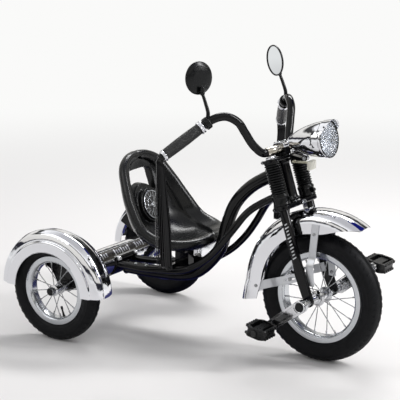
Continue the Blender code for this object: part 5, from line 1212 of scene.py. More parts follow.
# The silver ticks on each leg: how many, the lowest one's height, their pitch and slant
LEG_TICKS = 11
LEG_TICK_LOW = 0.104
LEG_TICK_PITCH = 0.0082
LEG_TICK_SLANT = 0.35


def crown_shape(radius, low, high):
    """A fork crown: a plate round the steerer and both legs."""
    outline = hull([(0, 0, 0.021), (LEG_X, LEG_Y, radius), (LEG_X, -LEG_Y, radius)], 64)
    return prism(outline, low, high)


def leg_stripe(side):
    """Slanted silver ticks up the outer side of one leg, every third one longer."""
    ticks = []
    for k in range(LEG_TICKS):
        start, end = (60, 92) if k % 3 else (52, 100)
        patch = shell_patch(LEG_R + 0.00018, 0.00038, start, end, 6)
        tick = prism([(x, side * y) for x, y in patch], 0.0, 0.0030)
        for vertex in tick.verts:
            vertex.co.z += LEG_TICK_LOW + LEG_TICK_PITCH * k + LEG_TICK_SLANT * vertex.co.x
        ticks.append(tick)
    return merged(*ticks)


def build_fork(sizes):
    low_z, low_top, high_z, high_top = 0.2214, 0.2334, 0.3366, 0.3446
    piece("crown_low", crown_shape(0.0208, low_z, low_top), "enamel", "fork", ["crown_bottom"], FORK,
          bevel=0.0030)
    piece("crown_high", crown_shape(0.0200, high_z, high_top), "enamel", "fork", ["crown_top"], FORK,
          bevel=0.0014)
    for tag, side in SIDES:
        place = FORK @ Matrix.Translation((LEG_X, side * LEG_Y, 0))
        cup = [(LEG_BORE, low_top), (0.0205, low_top), (0.0205, low_top + 0.003),
               (0.0196, low_top + 0.005), (0.0196, low_top + 0.017), (0.0205, low_top + 0.019),
               (0.0205, low_top + 0.024), (LEG_BORE, low_top + 0.024)]
        piece("cup_" + tag, turned(cup, 0.0008, 3, 56), "plastic", "fork", place=place)
        profile = [(0, 0.0745), (LEG_R, 0.0745), (LEG_R, low_z - GAP), (0.0095, low_z - GAP),
                   (0.0095, high_top + GAP), (0, high_top + GAP)]
        shaft = turned(profile, 0.0006, 2, 40)
        piece("leg_tube_" + tag, shaft, "enamel", "fork", ["leg_" + tag], place)
        cap = [(0, high_top), (0.012, high_top), (0.012, high_top + 0.0035), (0.0100, high_top + 0.0055),
               (0.0, high_top + 0.0063)]
        piece("leg_cap_" + tag, turned(cap, 0.0007, 3, 40), "chrome", "fork", place=place)
        lead = FORK.inverted() @ FRONT_AXLE
        ends = [(lead.x, lead.z, 0.0115), (LEG_X, 0.066, 0.0128), (LEG_X, 0.086, 0.0112)]
        dropout = prism(hull(ends, 56), LEG_Y - 0.005, LEG_Y + 0.005, "Y")
        hole = shifted(rod(0.0059, 0.04, 0.08, 32, "Y", 0), lead.x, 0, lead.z)
        dropout = on_side(carved(dropout, [hole]), side)
        piece("dropout_" + tag, dropout, "enamel", "fork", place=FORK, bevel=0.0012)
        ribs(tag, side, sizes, low_top + 0.0243, high_z - GAP)
        piece("leg_stripe_" + tag, leg_stripe(side), "stripe", "fork", place=place)
    steerer = rod(0.0125, low_z + 0.0002, high_top - 0.0002, 48)
    piece("steerer_tube", steerer, "zinc", "fork", ["steerer"], FORK)


def ribs(tag, side, sizes, low, high):
    """One gaiter: round crests and narrow valleys, with a plain collar at each end."""
    steps = 9
    collar = 0.004
    edge, valley, crest = 0.0183, 0.0164, 0.0032
    outer = [(edge, low), (edge, low + collar * 0.6)]
    span = high - low - 2 * collar
    total = sizes.gaiter_ribs * steps
    for k in range(total + 1):
        wave = 0.5 - 0.5 * math.cos(2 * math.pi * k / steps)
        outer.append((valley + crest * wave ** 0.75, low + collar + span * k / total))
    outer += [(edge, high - collar * 0.6), (edge, high)]
    profile = outer + [(LEG_BORE, high), (LEG_BORE, low)]
    gaiter = revolve(profile, 56)
    place = FORK @ Matrix.Translation((LEG_X, side * LEG_Y, 0))
    piece("gaiter_ribs_" + tag, gaiter, "rubber", "fork", ["gaiter_" + tag], place, sharp=60.0)


def bar_bore():
    """The tool that cuts the handlebar's seat in stem and clamp."""
    return shifted(rod(BAR_BORE, -0.05, 0.05, 40, "Y", 0), STEM_X, 0, BAR_HIGH)


def build_stem(sizes):
    low, half = 0.3449, 0.0125
    x0, x1 = STEM_X - 0.0155, STEM_X + 0.0155
    block = box(x0, x1, -half, half, low, BAR_HIGH - 0.0002)
    stem = carved(block, [bar_bore()])
    piece("stem_block", stem, "enamel", "fork", ["stem"], FORK, bevel=0.0016)
    outline = [(x0, BAR_HIGH + 0.0002), (x1, BAR_HIGH + 0.0002), (x1, BAR_HIGH + 0.0105),
               (x1 - 0.005, BAR_HIGH + 0.0155), (x0 + 0.005, BAR_HIGH + 0.0155),
               (x0, BAR_HIGH + 0.0105)]
    cap = carved(prism(rounded(outline, 0.003, 4), -half, half, "Y"), [bar_bore()])
    piece("stem_clamp", cap, "chrome", "fork", ["stem_cap"], FORK, bevel=0.0010)
    line = smooth_path([(0, 0.0128, 0), (0, 0.0360, 0), (-0.0090, 0.0540, -0.0033)], 8)
    for tag, side in SIDES:
        piece("bar_sleeve_" + tag, on_side(sweep(line, 0.0110, 32), side), "warm", "fork", place=BAR)


# Handlebar

BAR_BEND = [(0, 0.0360, 0), (-0.0140, 0.0610, -0.0040), (-0.0270, 0.0810, 0.0140),
            (-0.0380, 0.1050, 0.0490), (-0.0470, 0.1230, 0.0760), (-0.0670, 0.1460, 0.0905),
            (-0.0860, 0.1680, 0.0855)]
GRIP_START = Vector((-0.1060, 0.1890, 0.0670))
GRIP_AIM = Vector((-0.0510, 0.0770, -0.0595)).normalized()
GRIP_LENGTH = 0.100
GRIP_END = 0.005 + GRIP_LENGTH


def grip_place(along):
    return facing(GRIP_START + GRIP_AIM * along, GRIP_AIM)


def build_bars(sizes):
    bend = smooth_path(BAR_BEND + [GRIP_START - GRIP_AIM * 0.010], 8)
    left = bend + [GRIP_START + GRIP_AIM * (GRIP_LENGTH + 0.004)]
    path = [Vector((p.x, -p.y, p.z)) for p in left[::-1]] + left
    piece("bar", sweep(path, BAR_R, 28), "enamel", "fork", ["handlebar"], BAR)
    ring = [(BAR_BORE, -0.0050), (0.0148, -0.0050), (0.0160, -0.0040), (0.0160, -0.0022),
            (0.0138, -0.0008), (0.0138, 0.0008), (0.0160, 0.0022), (0.0160, 0.0040),
            (0.0148, 0.0050), (BAR_BORE, 0.0050)]
    grip = [(BAR_BORE, 0.0), (0.0126, 0.0)]
    for k in range(13):
        swell = math.sin(math.pi * k / 12)
        grip.append((0.0129 + 0.0010 * swell, 0.002 + (GRIP_LENGTH - 0.004) * k / 12))
    grip += [(0.0126, GRIP_LENGTH), (BAR_BORE, GRIP_LENGTH)]
    end = [(0.0083, 0.0), (0.0134, 0.0), (0.0145, 0.0012), (0.0145, 0.0030), (0.0128, 0.0040),
           (0.0128, 0.0052), (0.0138, 0.0060), (0.0130, 0.0070), (0.0083, 0.0070)]
    for tag, side in SIDES:
        on_bar("ring_in_" + tag, ring, 48, "chrome", grip_place(0.0), side, ["ring_" + tag + "_in"])
        on_bar("grip_sleeve_" + tag, grip, 56, "foam", grip_place(0.0053), side, ["grip_" + tag],
               ease=0.0004)
        on_bar("ring_out_" + tag, end, 48, "chrome", grip_place(GRIP_END + 0.0006), side,
               ["ring_" + tag + "_out"])


def on_bar(name, profile, segments, finish, place, side, stands_for, ease=0.0005):
    """A turned piece set on the left half of the handlebar and mirrored for the right one."""
    solid = on_side(moved(turned(profile, ease, 2, segments), place), side)
    piece(name, solid, finish, "fork", stands_for, BAR, sharp=45.0)


# The ribbons' width and thickness
RIBBON_WIDTH = 0.0088
RIBBON_THICKNESS = 0.0022
# How far the ribbons fall, and by how much they differ
RIBBON_FALL = 0.244
RIBBON_UNEVEN = 0.006
# The bunch's width at its top and what it gains below, the gap between its three rows, and how far
# it leans forward and inward by its end
BUNCH_TOP = 0.014
BUNCH_GAIN = 0.021
ROW_GAP = 0.0042
LEAN_AHEAD = 0.010
LEAN_IN = 0.006
# The turn from one ribbon's sway to the next, near the golden angle
SWAY_TURN = 2.399


def ribbon_path(k, count, root):
    """The line of one ribbon: out of the plug, over a knee and down with a slight sway."""
    row = k % 3 - 1
    share = (k // 3 + 0.5 * (row == 0)) / ((count - 1) // 3 + 0.5) - 0.5
    fall = RIBBON_FALL + RIBBON_UNEVEN * math.sin(3.1 * k)
    knee = root + GRIP_AIM * 0.0135
    points = [root + GRIP_AIM * 0.002 + Vector((0.004 * share, 0.0, 0.0015 * row)),
              root + GRIP_AIM * 0.009 + Vector((0.010 * share, 0, 0.001 * row))]
    for step in range(1, 15):
        t = step / 14
        spread = BUNCH_TOP + BUNCH_GAIN * min(t * 1.6, 1.0)
        sway = 0.0010 * math.sin(SWAY_TURN * k + 5 * t) * t
        opened = ROW_GAP * row * min(0.4 + t * 1.5, 1.0)
        points.append(Vector((knee.x + share * spread + sway + 0.004 + LEAN_AHEAD * t,
                              knee.y + opened + 0.7 * sway - LEAN_IN * t,
                              knee.z - 0.010 - fall * t)))
    return smooth_path(points, 3)


def build_tassels(sizes):
    tree = ribbon_tree()
    root = GRIP_START + GRIP_AIM * (GRIP_END + 0.006)
    plug = [(0, 0.0), (0.0078, 0.0), (0.0078, 0.007), (0.0098, 0.0078), (0.0098, 0.0120),
            (0.0070, 0.0160), (0, 0.0172)]
    for tag, side in SIDES:
        flip = BAR @ Matrix.Diagonal((1, side, 1, 1))
        on_bar("tassel_plug_" + tag, plug, 36, "plastic", grip_place(GRIP_END + 0.001), side,
               ["tassel_" + tag])
        lines = bmesh.new()
        for k in range(sizes.ribbons):
            verts = [lines.verts.new(p) for p in ribbon_path(k, sizes.ribbons, root)]
            for a, b in zip(verts, verts[1:]):
                lines.edges.new((a, b))
        ribbons = grown("ribbons_" + tag, tree, {"Width": RIBBON_WIDTH, "Thickness": RIBBON_THICKNESS},
                        "vinyl", "fork", base=lines, place=flip, sharp=70.0)
        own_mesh(ribbons)


# Mirrors

# How far each mirror is turned at rest and how far it leans back, in degrees
MIRROR_YAW = {"r": -18.7, "l": 61.4}
MIRROR_LEAN = -4.3
MIRROR_TOP = Vector((-0.1120, 0.1750, 0.1440))
MIRROR_ARM = [(-0.0948, 0.1780, 0.0880), (-0.0945, 0.1770, 0.0980), (-0.1020, 0.1760, 0.1210),
              MIRROR_TOP]
MIRROR_STEM = 0.0050
GLASS_RADIUS = 0.0348


def build_mirrors(sizes):
    band = [(0.0104, -0.006), (0.0140, -0.006), (0.0148, -0.0045), (0.0148, 0.0045), (0.0140, 0.006),
            (0.0104, 0.006)]
    clamp = facing(Vector((-0.0960, 0.1790, 0.0765)), GRIP_AIM)
    ball = [(0, -0.0060), (0.0034, -0.0050), (0.0056, -0.0022), (0.0060, 0.0008), (0.0056, 0.0030),
            (0.0028, 0.0030), (0.0028, 0.0130), (0, 0.0130)]
    dish = [(0, 0.0046), (0.019, 0.0043), (0.030, 0.0032), (0.0365, 0.0012), (0.0385, -0.0006),
            (0.0385, -0.0034), (0.0378, -0.0042), (0.0354, -0.0042), (0.0350, -0.0010), (0, -0.0008)]
    cup = [(0.0031, 0.0033), (0.0058, 0.0033), (0.0058, 0.0130), (0.0048, 0.0150), (0, 0.0154),
           (0, 0.0136), (0.0031, 0.0136)]
    bend = smooth_path([(-0.0005, 0, 0.0090), (-0.0050, 0, 0.0100), (-0.0095, 0, 0.0135)], 5)
    dome = [(GLASS_RADIUS * k / 12, -0.0036 + 0.0012 * (k / 12) ** 2) for k in range(13)]
    glass = dome + [(GLASS_RADIUS, -0.0015), (0, -0.0015)]
    for tag, side in SIDES:
        head = "mirror_" + tag
        on_bar("mirror_clamp_" + tag, band, 40, "plastic", clamp, side, ["mirror_arm_" + tag])
        stem = on_side(sweep(smooth_path(MIRROR_ARM, 10), MIRROR_STEM, 20, 0.72), side)
        piece("mirror_stem_" + tag, stem, "plastic", "fork", place=BAR)
        top = BAR @ Vector((MIRROR_TOP.x, side * MIRROR_TOP.y, MIRROR_TOP.z))
        piece("mirror_ball_" + tag, turned(ball, 0.0006, 2, 32), "plastic", "fork",
              place=Matrix.Translation(top))
        yaw = Matrix.Rotation(math.radians(MIRROR_YAW[tag]), 4, "Z")
        place = Matrix.Translation(MIRROR_PIVOT[tag]) @ yaw
        lean = Matrix.Rotation(math.radians(MIRROR_LEAN), 4, "Y")
        disc_at = place @ Matrix.Translation((-0.012, 0, 0.034)) @ lean
        piece("mirror_back_" + tag, turned(dish, 0.0008, 3, 72, "X"), "plastic", head,
              ["mirror_head_" + tag], disc_at, sharp=60.0)
        joint = merged(turned(cup, 0.0006, 2, 32), sweep(bend, 0.0042, 16, 0.9))
        piece("mirror_joint_" + tag, joint, "plastic", head, place=place)
        piece("mirror_face_" + tag, revolve(glass, 72, "X"), "glass", head, ["mirror_glass_" + tag],
              disc_at, sharp=50.0)


# Lamp

LAMP_LEAN = math.radians(10.0)
# The visor's start and span round the lamp in degrees, and how far it reaches ahead
VISOR_START = 22.0
VISOR_SPAN = 136.0
VISOR_REACH = 0.0205
# The lens: its radius, its rings of facets and their step, and its rays and their height
LENS_RADIUS = 0.0418
LENS_STEPS = 18
LENS_FACET = 0.0006
LENS_RAYS = 24
RAY_HIGH = 0.0008


def lug_place():
    """The lug's place under the lamp, in the lamp's own leaning frame."""
    back, down = 0.059, 0.052
    return Vector((-back * math.cos(LAMP_LEAN) - down * math.sin(LAMP_LEAN), 0,
                   back * math.sin(LAMP_LEAN) - down * math.cos(LAMP_LEAN)))


def visor_solid():
    """A sheet over the top of the lens that reaches furthest in its middle."""
    rings = []
    steps = 40
    for i in range(steps + 1):
        angle = math.radians(VISOR_START + VISOR_SPAN * i / steps)
        reach = VISOR_REACH * math.sin(math.pi * (i + 0.6) / (steps + 1.2)) ** 0.6
        c, s = math.cos(angle), math.sin(angle)
        section = [(-0.004, 0.0441), (reach, 0.0450), (reach + 0.0008, 0.0456), (reach, 0.0462),
                   (-0.004, 0.0452)]
        rings.append([Vector((x, r * c, r * s)) for x, r in section])
    return loft(rings)


def lens_solid():
    """The domed lens, pressed with rings of facets and with rays."""
    front = []
    back = []
    for k in range(LENS_STEPS + 1):
        share = k / LENS_STEPS
        front.append((LENS_RADIUS * share, 0.0012 + 0.006 * (1 - share ** 2) - LENS_FACET * (k % 2)))
        back.append((LENS_RADIUS * share, -0.0010 + 0.0055 * (1 - share ** 2)))
    lens = revolve(front + back[::-1], 48, "X")
    for vertex in lens.verts:
        x, y, z = vertex.co
        if x > 0 and math.hypot(y, z) > 0.004:
            vertex.co.x += RAY_HIGH * math.cos(LENS_RAYS * math.atan2(z, y))
    return lens


def build_lamp(sizes):
    place = (Matrix.Translation(LAMP_PIVOT) @ Matrix.Rotation(-LAMP_LEAN, 4, "Y")
             @ Matrix.Translation(-lug_place()))
    shares = [(0.0, 1.0), (0.15, 0.975), (0.36, 0.88), (0.60, 0.69), (0.80, 0.455), (0.94, 0.22),
              (1.0, 0.02)]
    curve = smooth_path([(0.044 * r, -0.112 * a, 0) for a, r in shares], 6)
    outer = [(0.0436, 0.0016), (0.0446, 0.0010), (0.0449, -0.0012), (0.0444, -0.0032)]
    outer += [(p.x, p.y) for p in curve if p.y < -0.004] + [(0, -0.1122)]
    inner = [(max(p.x - 0.0016, 0.0), p.y + 0.0008) for p in curve if -0.088 < p.y < -0.004][::-1]
    bowl = revolve(outer + [(0, -0.085)] + inner + [(0.0422, -0.0030), (0.0422, 0.0012)], 72, "X")
    piece("lamp_shell", bowl, "chrome", "lamp", ["lamp_housing"], place, sharp=50.0)
    piece("lamp_visor", visor_solid(), "chrome", "lamp", place=place)
    bolt = turned([(0, 0), (0.0022, 0), (0.0018, 0.0016), (0, 0.0019)], 0.0004, 2, 16)
    at = Vector((0.010, -0.0462 * math.cos(math.radians(45)), 0.0462 * math.sin(math.radians(45))))
    piece("visor_stud", moved(bolt, facing(at, (0, at.y, at.z))), "dark", "lamp", place=place)
    dish = [(0.0418, -0.0035), (0.0405, -0.012), (0.036, -0.022), (0.027, -0.031), (0.014, -0.037),
            (0.0, -0.0385), (0.0, -0.0400), (0.014, -0.0385), (0.028, -0.0325), (0.0372, -0.0230),
            (0.0415, -0.0125), (0.0425, -0.0042)]
    piece("lamp_reflector", revolve(dish, 72, "X"), "chrome", "lamp", place=place, sharp=60.0)
    bulb = [(0, -0.0385), (0.0050, -0.0385), (0.0050, -0.0290), (0.0030, -0.0270), (0.0052, -0.0225),
            (0.0050, -0.0185), (0.0028, -0.0155), (0, -0.0148)]
    piece("lamp_bulb", turned(bulb, 0.0008, 2, 28, "X"), "prism", "lamp", place=place)
    piece("lamp_glass", lens_solid(), "lens", "lamp", ["lamp_lens"], place, sharp=4.0)
    ring = [(0.0416, 0.0010), (0.0436, 0.0006), (0.0442, 0.0020), (0.0434, 0.0034), (0.0420, 0.0032)]
    trim = turned(ring, 0.0006, 2, 72, "X")
    piece("lamp_trim", trim, "plastic", "lamp", place=place, sharp=60.0)
    lug_at = lug_place()
    lug = prism(hull([(lug_at.x, lug_at.z, 0.0065), (lug_at.x, lug_at.z + 0.0085, 0.0058)], 40),
                -0.0028, 0.0028, "Y")
    piece("lamp_lug", lug, "chrome", "lamp", place=place, bevel=0.0006)


def build_lamp_bracket(sizes):
    pivot = FORK.inverted() @ LAMP_PIVOT
    px, pz = pivot.x, pivot.z
    face = LEG_X + 0.0200 + GAP
    pad = box(face, face + 0.003, -0.010, 0.010, 0.3216, 0.3446)
    arm = prism(rounded([(face + 0.001, 0.3366), (px - 0.008, pz - 0.0055), (px - 0.008, pz + 0.003),
                         (face + 0.001, 0.3436)], 0.0012, 2), -0.008, 0.008, "Y")
    ears = []
    for side in (1, -1):
        near, far = side * 0.0031, side * 0.0056
        outline = hull([(px, pz, 0.0065), (px - 0.0105, pz, 0.0035)], 40)
        ears.append(prism(outline, min(near, far), max(near, far), "Y"))
    piece("lamp_arm", merged(pad, arm, *ears), "enamel", "fork", ["lamp_bracket"], FORK, bevel=0.0006)
    rx, rz = px + 0.0070, pz - 0.0180
    up = Vector((math.sin(RAKE), math.cos(RAKE)))
    foot = (rx - up.x * 0.009 - 0.0013, rz - up.y * 0.009)
    top = (rx + up.x * 0.006 - 0.0013, rz + up.y * 0.006)
    line = [(face + 0.0020, 0.3336), (face + 0.0020, 0.3236), top, foot]
    tab = prism(strip_outline(rounded(line, 0.003, 4, closed=False), STRIP), -0.009, 0.009, "Y")
    piece("reflector_tab", tab, "tab", "fork", place=FORK, bevel=0.0003)
    upright = FORK @ Matrix.Translation((rx, 0, rz)) @ Matrix.Rotation(RAKE, 4, "Y")
    w, h = 0.015, 0.011
    outline = rounded([(-w, -h), (w, -h), (w, h), (-w, h)], 0.003, 4)
    inset = rounded([(-w + 0.0014, -h + 0.0014), (w - 0.0014, -h + 0.0014), (w - 0.0014, h - 0.0014),
                     (-w + 0.0014, h - 0.0014)], 0.002, 4)
    block = loft([[stand(p, GAP, "X") for p in outline], [stand(p, 0.0066, "X") for p in outline],
                  [stand(p, 0.0084, "X") for p in inset]])
    piece("front_reflector", block, "prism", "fork", ["reflector"], upright)


# Front fender

FENDER_AT = Vector((0.006, 0.0, 0.012))
# Half the fender's width, how deep its round shoulder goes and how round it is
FENDER_HALF = 0.0425
SHOULDER = 0.030
SHOULDER_POWER = 2.4
# Angles round the wheel, from its front: the fender's tip, what it spans, the tip's length and
# where its tail starts to flare
FENDER_TIP = 58.0
FENDER_SPAN = 134.0
TIP_LENGTH = 34.0
FLARE_FROM = 175.0
# The thickness of the fender as seen and as packed, of the bent strips and of the stays
FENDER_SHEET = 0.0018
FENDER_PACKED = 0.002
STRIP = 0.002
STAY = 0.0025


def fender_width(depth):
    """Half the width at a depth below the crown."""
    if depth >= SHOULDER:
        return FENDER_HALF
    inward = (SHOULDER - depth) / SHOULDER
    return FENDER_HALF * (1.0 - inward ** SHOULDER_POWER) ** (1 / SHOULDER_POWER)


def fender_depth(angle):
    """How deep the sides reach, growing from the tip."""
    share = min(max((angle - FENDER_TIP) / TIP_LENGTH, 0.0), 1.0)
    return 0.004 + 0.050 * math.sin(math.pi / 2 * share) ** 1.2


def fender_radius(angle):
    return 0.204 + 0.015 * max((angle - FLARE_FROM) / 17.0, 0.0) ** 1.5


def build_front_fender(sizes):
    steps = 130
    rings = []
    for i in range(steps + 1):
        angle = FENDER_TIP + FENDER_SPAN * i / steps
        crown, depth = fender_radius(angle), fender_depth(angle)
        half = []
        for share in (1.0, 0.985, 0.85, 0.7, 0.55, 0.42, 0.31, 0.22, 0.15, 0.09, 0.045, 0.015, 0.004):
            half.append((fender_width(depth * share), crown - depth * share))
        line = half + [(0.0, crown)] + [(-y, r) for y, r in reversed(half)]
        c, s = math.cos(math.radians(angle)), math.sin(math.radians(angle))
        rings.append([Vector((r * c, y, r * s)) for y, r in thicken(line, FENDER_SHEET, -1.0)])
    place = UPRIGHT @ Matrix.Translation(FENDER_AT)
    piece("fender_front", loft(rings), "chrome", "fork", ["front_fender"], place, sharp=50.0)
    centre = FORK.inverted() @ (FRONT_AXLE + FENDER_AT)
    face = LEG_X + 0.0215 + GAP + 0.001
    drop = centre.z + math.sqrt(0.2045 ** 2 - (face - centre.x) ** 2)
    foot = [(face, 0.2316), (face, drop + 0.001), (face + 0.003, drop + 0.0004)]
    for reach in (0.006, 0.009, 0.0125, 0.016):
        x = face + reach
        foot.append((x, centre.z + math.sqrt(0.2049 ** 2 - (x - centre.x) ** 2)))
    strip = prism(strip_outline(rounded(foot, 0.0015, 3, closed=False), STRIP), -0.008, 0.008, "Y")
    piece("fender_tongue", strip, "chrome", "fork", place=FORK, bevel=0.0004)


# The rear stay's pitch, and its slot: both ends along the stay and its half width
STAY_PITCH = -20.3
STAY_SLOT = (0.064, 0.090, 0.003)
# From the front axle: where the rear stay is drawn from, ahead and up, and how high the front one
# bends
STAY_AT = (-0.1344, 0.0165)
STAY_BEND = 0.087


def build_stays(sizes):
    wall = FENDER_HALF - FENDER_PACKED - GAP - STAY / 2
    leg = LEG_Y - 0.005 - GAP - STAY / 2
    outer = FENDER_HALF + GAP + STAY / 2
    back = rounded([(-0.034, wall), (0.020, wall), (0.042, 0.0465), (0.100, 0.0465), (0.111, leg),
                    (0.1205, leg)], 0.008, 5, closed=False)
    fore = rounded([(leg, 0.038), (leg, STAY_BEND), (outer, 0.103), (outer, 0.186)], 0.008, 5,
                   closed=False)
    start, end, half = STAY_SLOT
    for tag, side in SIDES:
        strip = prism(strip_outline(back, STAY), -0.0105, 0.0105)
        slot = prism(hull([(start, 0, half), (end, 0, half)], 32), 0.0, 0.09, "Y")
        stay = pitched(carved(strip, [slot]), STAY_PITCH)
        shifted(stay, STAY_AT[0], 0, STAY_AT[1])
        piece("stay_back_" + tag, on_side(stay, side), "satin", "fork", ["stay_rear_" + tag], UPRIGHT,
              bevel=0.0005)
        rings = []
        for across in (-0.0095, 0.0095):
            ring = []
            for y, z in strip_outline(fore, STAY):
                slant = 0.085 if z > STAY_BEND else -0.10
                ring.append(Vector((across - 0.0055 + slant * (z - STAY_BEND), y, z)))
            rings.append(ring)
        piece("stay_fore_" + tag, on_side(loft(rings), side), "satin", "fork", ["stay_front_" + tag],
              UPRIGHT, bevel=0.0005)


# Cranks and pedals

# The cranks' angles at rest, their length and the plane of their outer face
CRANK_ANGLE = {"r": 217.0, "l": 37.0}
CRANK_LENGTH = 0.100
CRANK_FACE = 0.104
# Half the pedal's length, width and height, its cut corners and its pitch at rest in degrees
PEDAL = (0.028, 0.034, 0.012)
PEDAL_CORNER = 0.0095
PEDAL_PITCH = 10.0
# The pedal's outline by level, each as a share of its half height and an inset: pinched at the waist
PEDAL_LEVELS = ((-1.0, 0.0012), (-0.88, 0.0), (-0.55, 0.0006), (-0.3, 0.0018), (0.3, 0.0018),
                (0.55, 0.0006), (0.88, 0.0), (1.0, 0.0012))
# The two windows through the pedal and the trough in its top and bottom, along and across
WINDOW_X = (0.0100, 0.0200)
WINDOW_Y = 0.024
TROUGH = (0.0116, 0.028)
TROUGH_FLOOR = 0.0086


def build_cranks(sizes):
    pocket = hull([(0.0200, 0, 0.0098), (0.088, 0, 0.0072)], 48)
    pocket = [p for p in pocket if p[0] > 0.0165]
    boss = [(0.0058, 0.092), (0.0155, 0.092), (0.0155, 0.108), (0.0125, 0.1092), (0.0112, 0.1080),
            (0.0058, 0.1078)]
    cap = [(0, 0.1040), (0.0107, 0.1040), (0.0107, 0.1092), (0.0090, 0.1104), (0.0, 0.1108)]
    spindle = [(0, 0.097), (0.0045, 0.097), (0.0045, 0.173), (0, 0.174)]
    eye = [(0.0, 0.0945), (0.0072, 0.0945), (0.0072, 0.0960), (0, 0.0960)]
    for tag, side in SIDES:
        place = UPRIGHT @ Matrix.Rotation(math.radians(-CRANK_ANGLE[tag]), 4, "Y")
        outline = hull([(0, 0, 0.0155), (CRANK_LENGTH, 0, 0.012)], 64)
        tools = [prism(pocket, CRANK_FACE - 0.004, 0.12, "Y"), rod(0.0058, 0.08, 0.11, 32, "Y", 0)]
        arm = on_side(carved(prism(outline, CRANK_FACE - 0.008, CRANK_FACE, "Y"), tools), side)
        piece("crank_arm_" + tag, arm, "crank", "front_wheel", ["crank_" + tag], place, bevel=0.0011)
        solid = on_side(turned(boss, 0.0009, 3, 56, "Y"), side)
        piece("crank_boss_" + tag, solid, "crank", "front_wheel", place=place, sharp=45.0)
        solid = on_side(turned(cap, 0.0008, 3, 40, "Y"), side)
        piece("crank_cap_" + tag, solid, "plastic", "front_wheel", place=place, sharp=45.0)
        pin = merged(revolve(spindle, 28, "Y"), turned(eye, 0.0004, 2, 28, "Y"))
        pin = on_side(shifted(pin, CRANK_LENGTH, 0, 0), side)
        piece("pedal_pin_" + tag, pin, "zinc", "front_wheel", place=place)


def slab(near, far, half, low, high):
    """A block with eased upright edges, as a tool."""
    outline = [(near, -half), (far, -half), (far, half), (near, half)]
    return prism(rounded(outline, 0.003, 4), low, high)


def pedal_body():
    """The pedal's frame with two windows, the spindle's bore and a trough on each face."""
    half_x, half_y, high = PEDAL
    levels = []
    for level, inset in PEDAL_LEVELS:
        x, y = half_x - 0.0015 - inset, half_y - inset
        short_x, short_y = x - PEDAL_CORNER, y - PEDAL_CORNER
        outline = [(-short_x, -y), (short_x, -y), (x, -short_y), (x, short_y), (short_x, y),
                   (-short_x, y), (-x, short_y), (-x, -short_y)]
        levels.append([stand(p, high * level, "Z") for p in rounded(outline, 0.004, 3)])
    near, far = WINDOW_X
    along, across = TROUGH
    tools = [slab(near, far, WINDOW_Y, -0.03, 0.03), slab(-far, -near, WINDOW_Y, -0.03, 0.03),
             rod(0.0048, -0.05, 0.05, 28, "Y", 0), slab(-along, along, across, TROUGH_FLOOR, 0.03),
             slab(-along, along, across, -0.03, -TROUGH_FLOOR)]
    return carved(loft(levels), tools)


def build_pedals(sizes):
    half_x, _, high = PEDAL
    tree = row_tree()
    pitch = 0.050 / sizes.pedal_ribs
    cap = [(0, 0.0338), (0.0075, 0.0338), (0.0075, 0.0352), (0.0055, 0.0364), (0, 0.0367)]
    for tag, side in SIDES:
        body = "pedal_" + tag
        tilt = Matrix.Rotation(math.radians(PEDAL_PITCH), 4, "Y")
        place = Matrix.Translation(PEDAL_PIVOT[tag]) @ tilt
        piece("pedal_body_" + tag, on_side(pedal_body(), side), "rubber", body, ["pedal_" + tag], place,
              bevel=0.0008)
        for name, end in (("front", 1), ("back", -1)):
            rib = merged(box(-0.0034, 0.0018, 0.0014, pitch - 0.0030, 0.0062, high + 0.0006),
                         box(-0.0034, 0.0018, 0.0014, pitch - 0.0030, -high + 0.0003, -0.0062))
            shape = linked("rib", rib)
            spot = Matrix.Translation((end * (half_x - 0.0018), -0.0245, 0.0))
            settings = {"Shape": shape, "Count": sizes.pedal_ribs, "Step": (0.0, pitch, 0.0)}
            grown("pedal_ribs_{}_{}".format(tag, name), tree, settings, "rubber", body,
                  place=place @ spot)
            dropped(shape)
        solid = on_side(turned(cap, 0.0006, 2, 32, "Y"), side)
        piece("pedal_end_" + tag, solid, "dark", body, place=place)


# Fasteners

def fastener_shapes():
    """A domed bolt head, a nut with its stud and a domed cap nut, each of radius one."""
    dome = turned([(0, 0), (1.0, 0), (1.0, 0.20), (0.78, 0.50), (0.40, 0.68), (0, 0.74)], 0.10, 2, 24)
    six = [(math.cos(a), math.sin(a)) for a in (math.pi / 3 * k for k in range(6))]
    stud = turned([(0, 0.6), (0.56, 0.6), (0.56, 1.15), (0.46, 1.25), (0, 1.25)], 0.05, 2, 20)
    nut = merged(prism(rounded(six, 0.10, 1), 0.0, 0.75), stud)
    crown = turned([(0, 0.5), (0.84, 0.5), (0.80, 0.95), (0.55, 1.35), (0, 1.5)], 0.1, 3, 24)
    acorn = merged(prism(rounded(six, 0.10, 1), 0.0, 0.6), crown)
    return {"dome": dome, "nut": nut, "acorn": acorn}


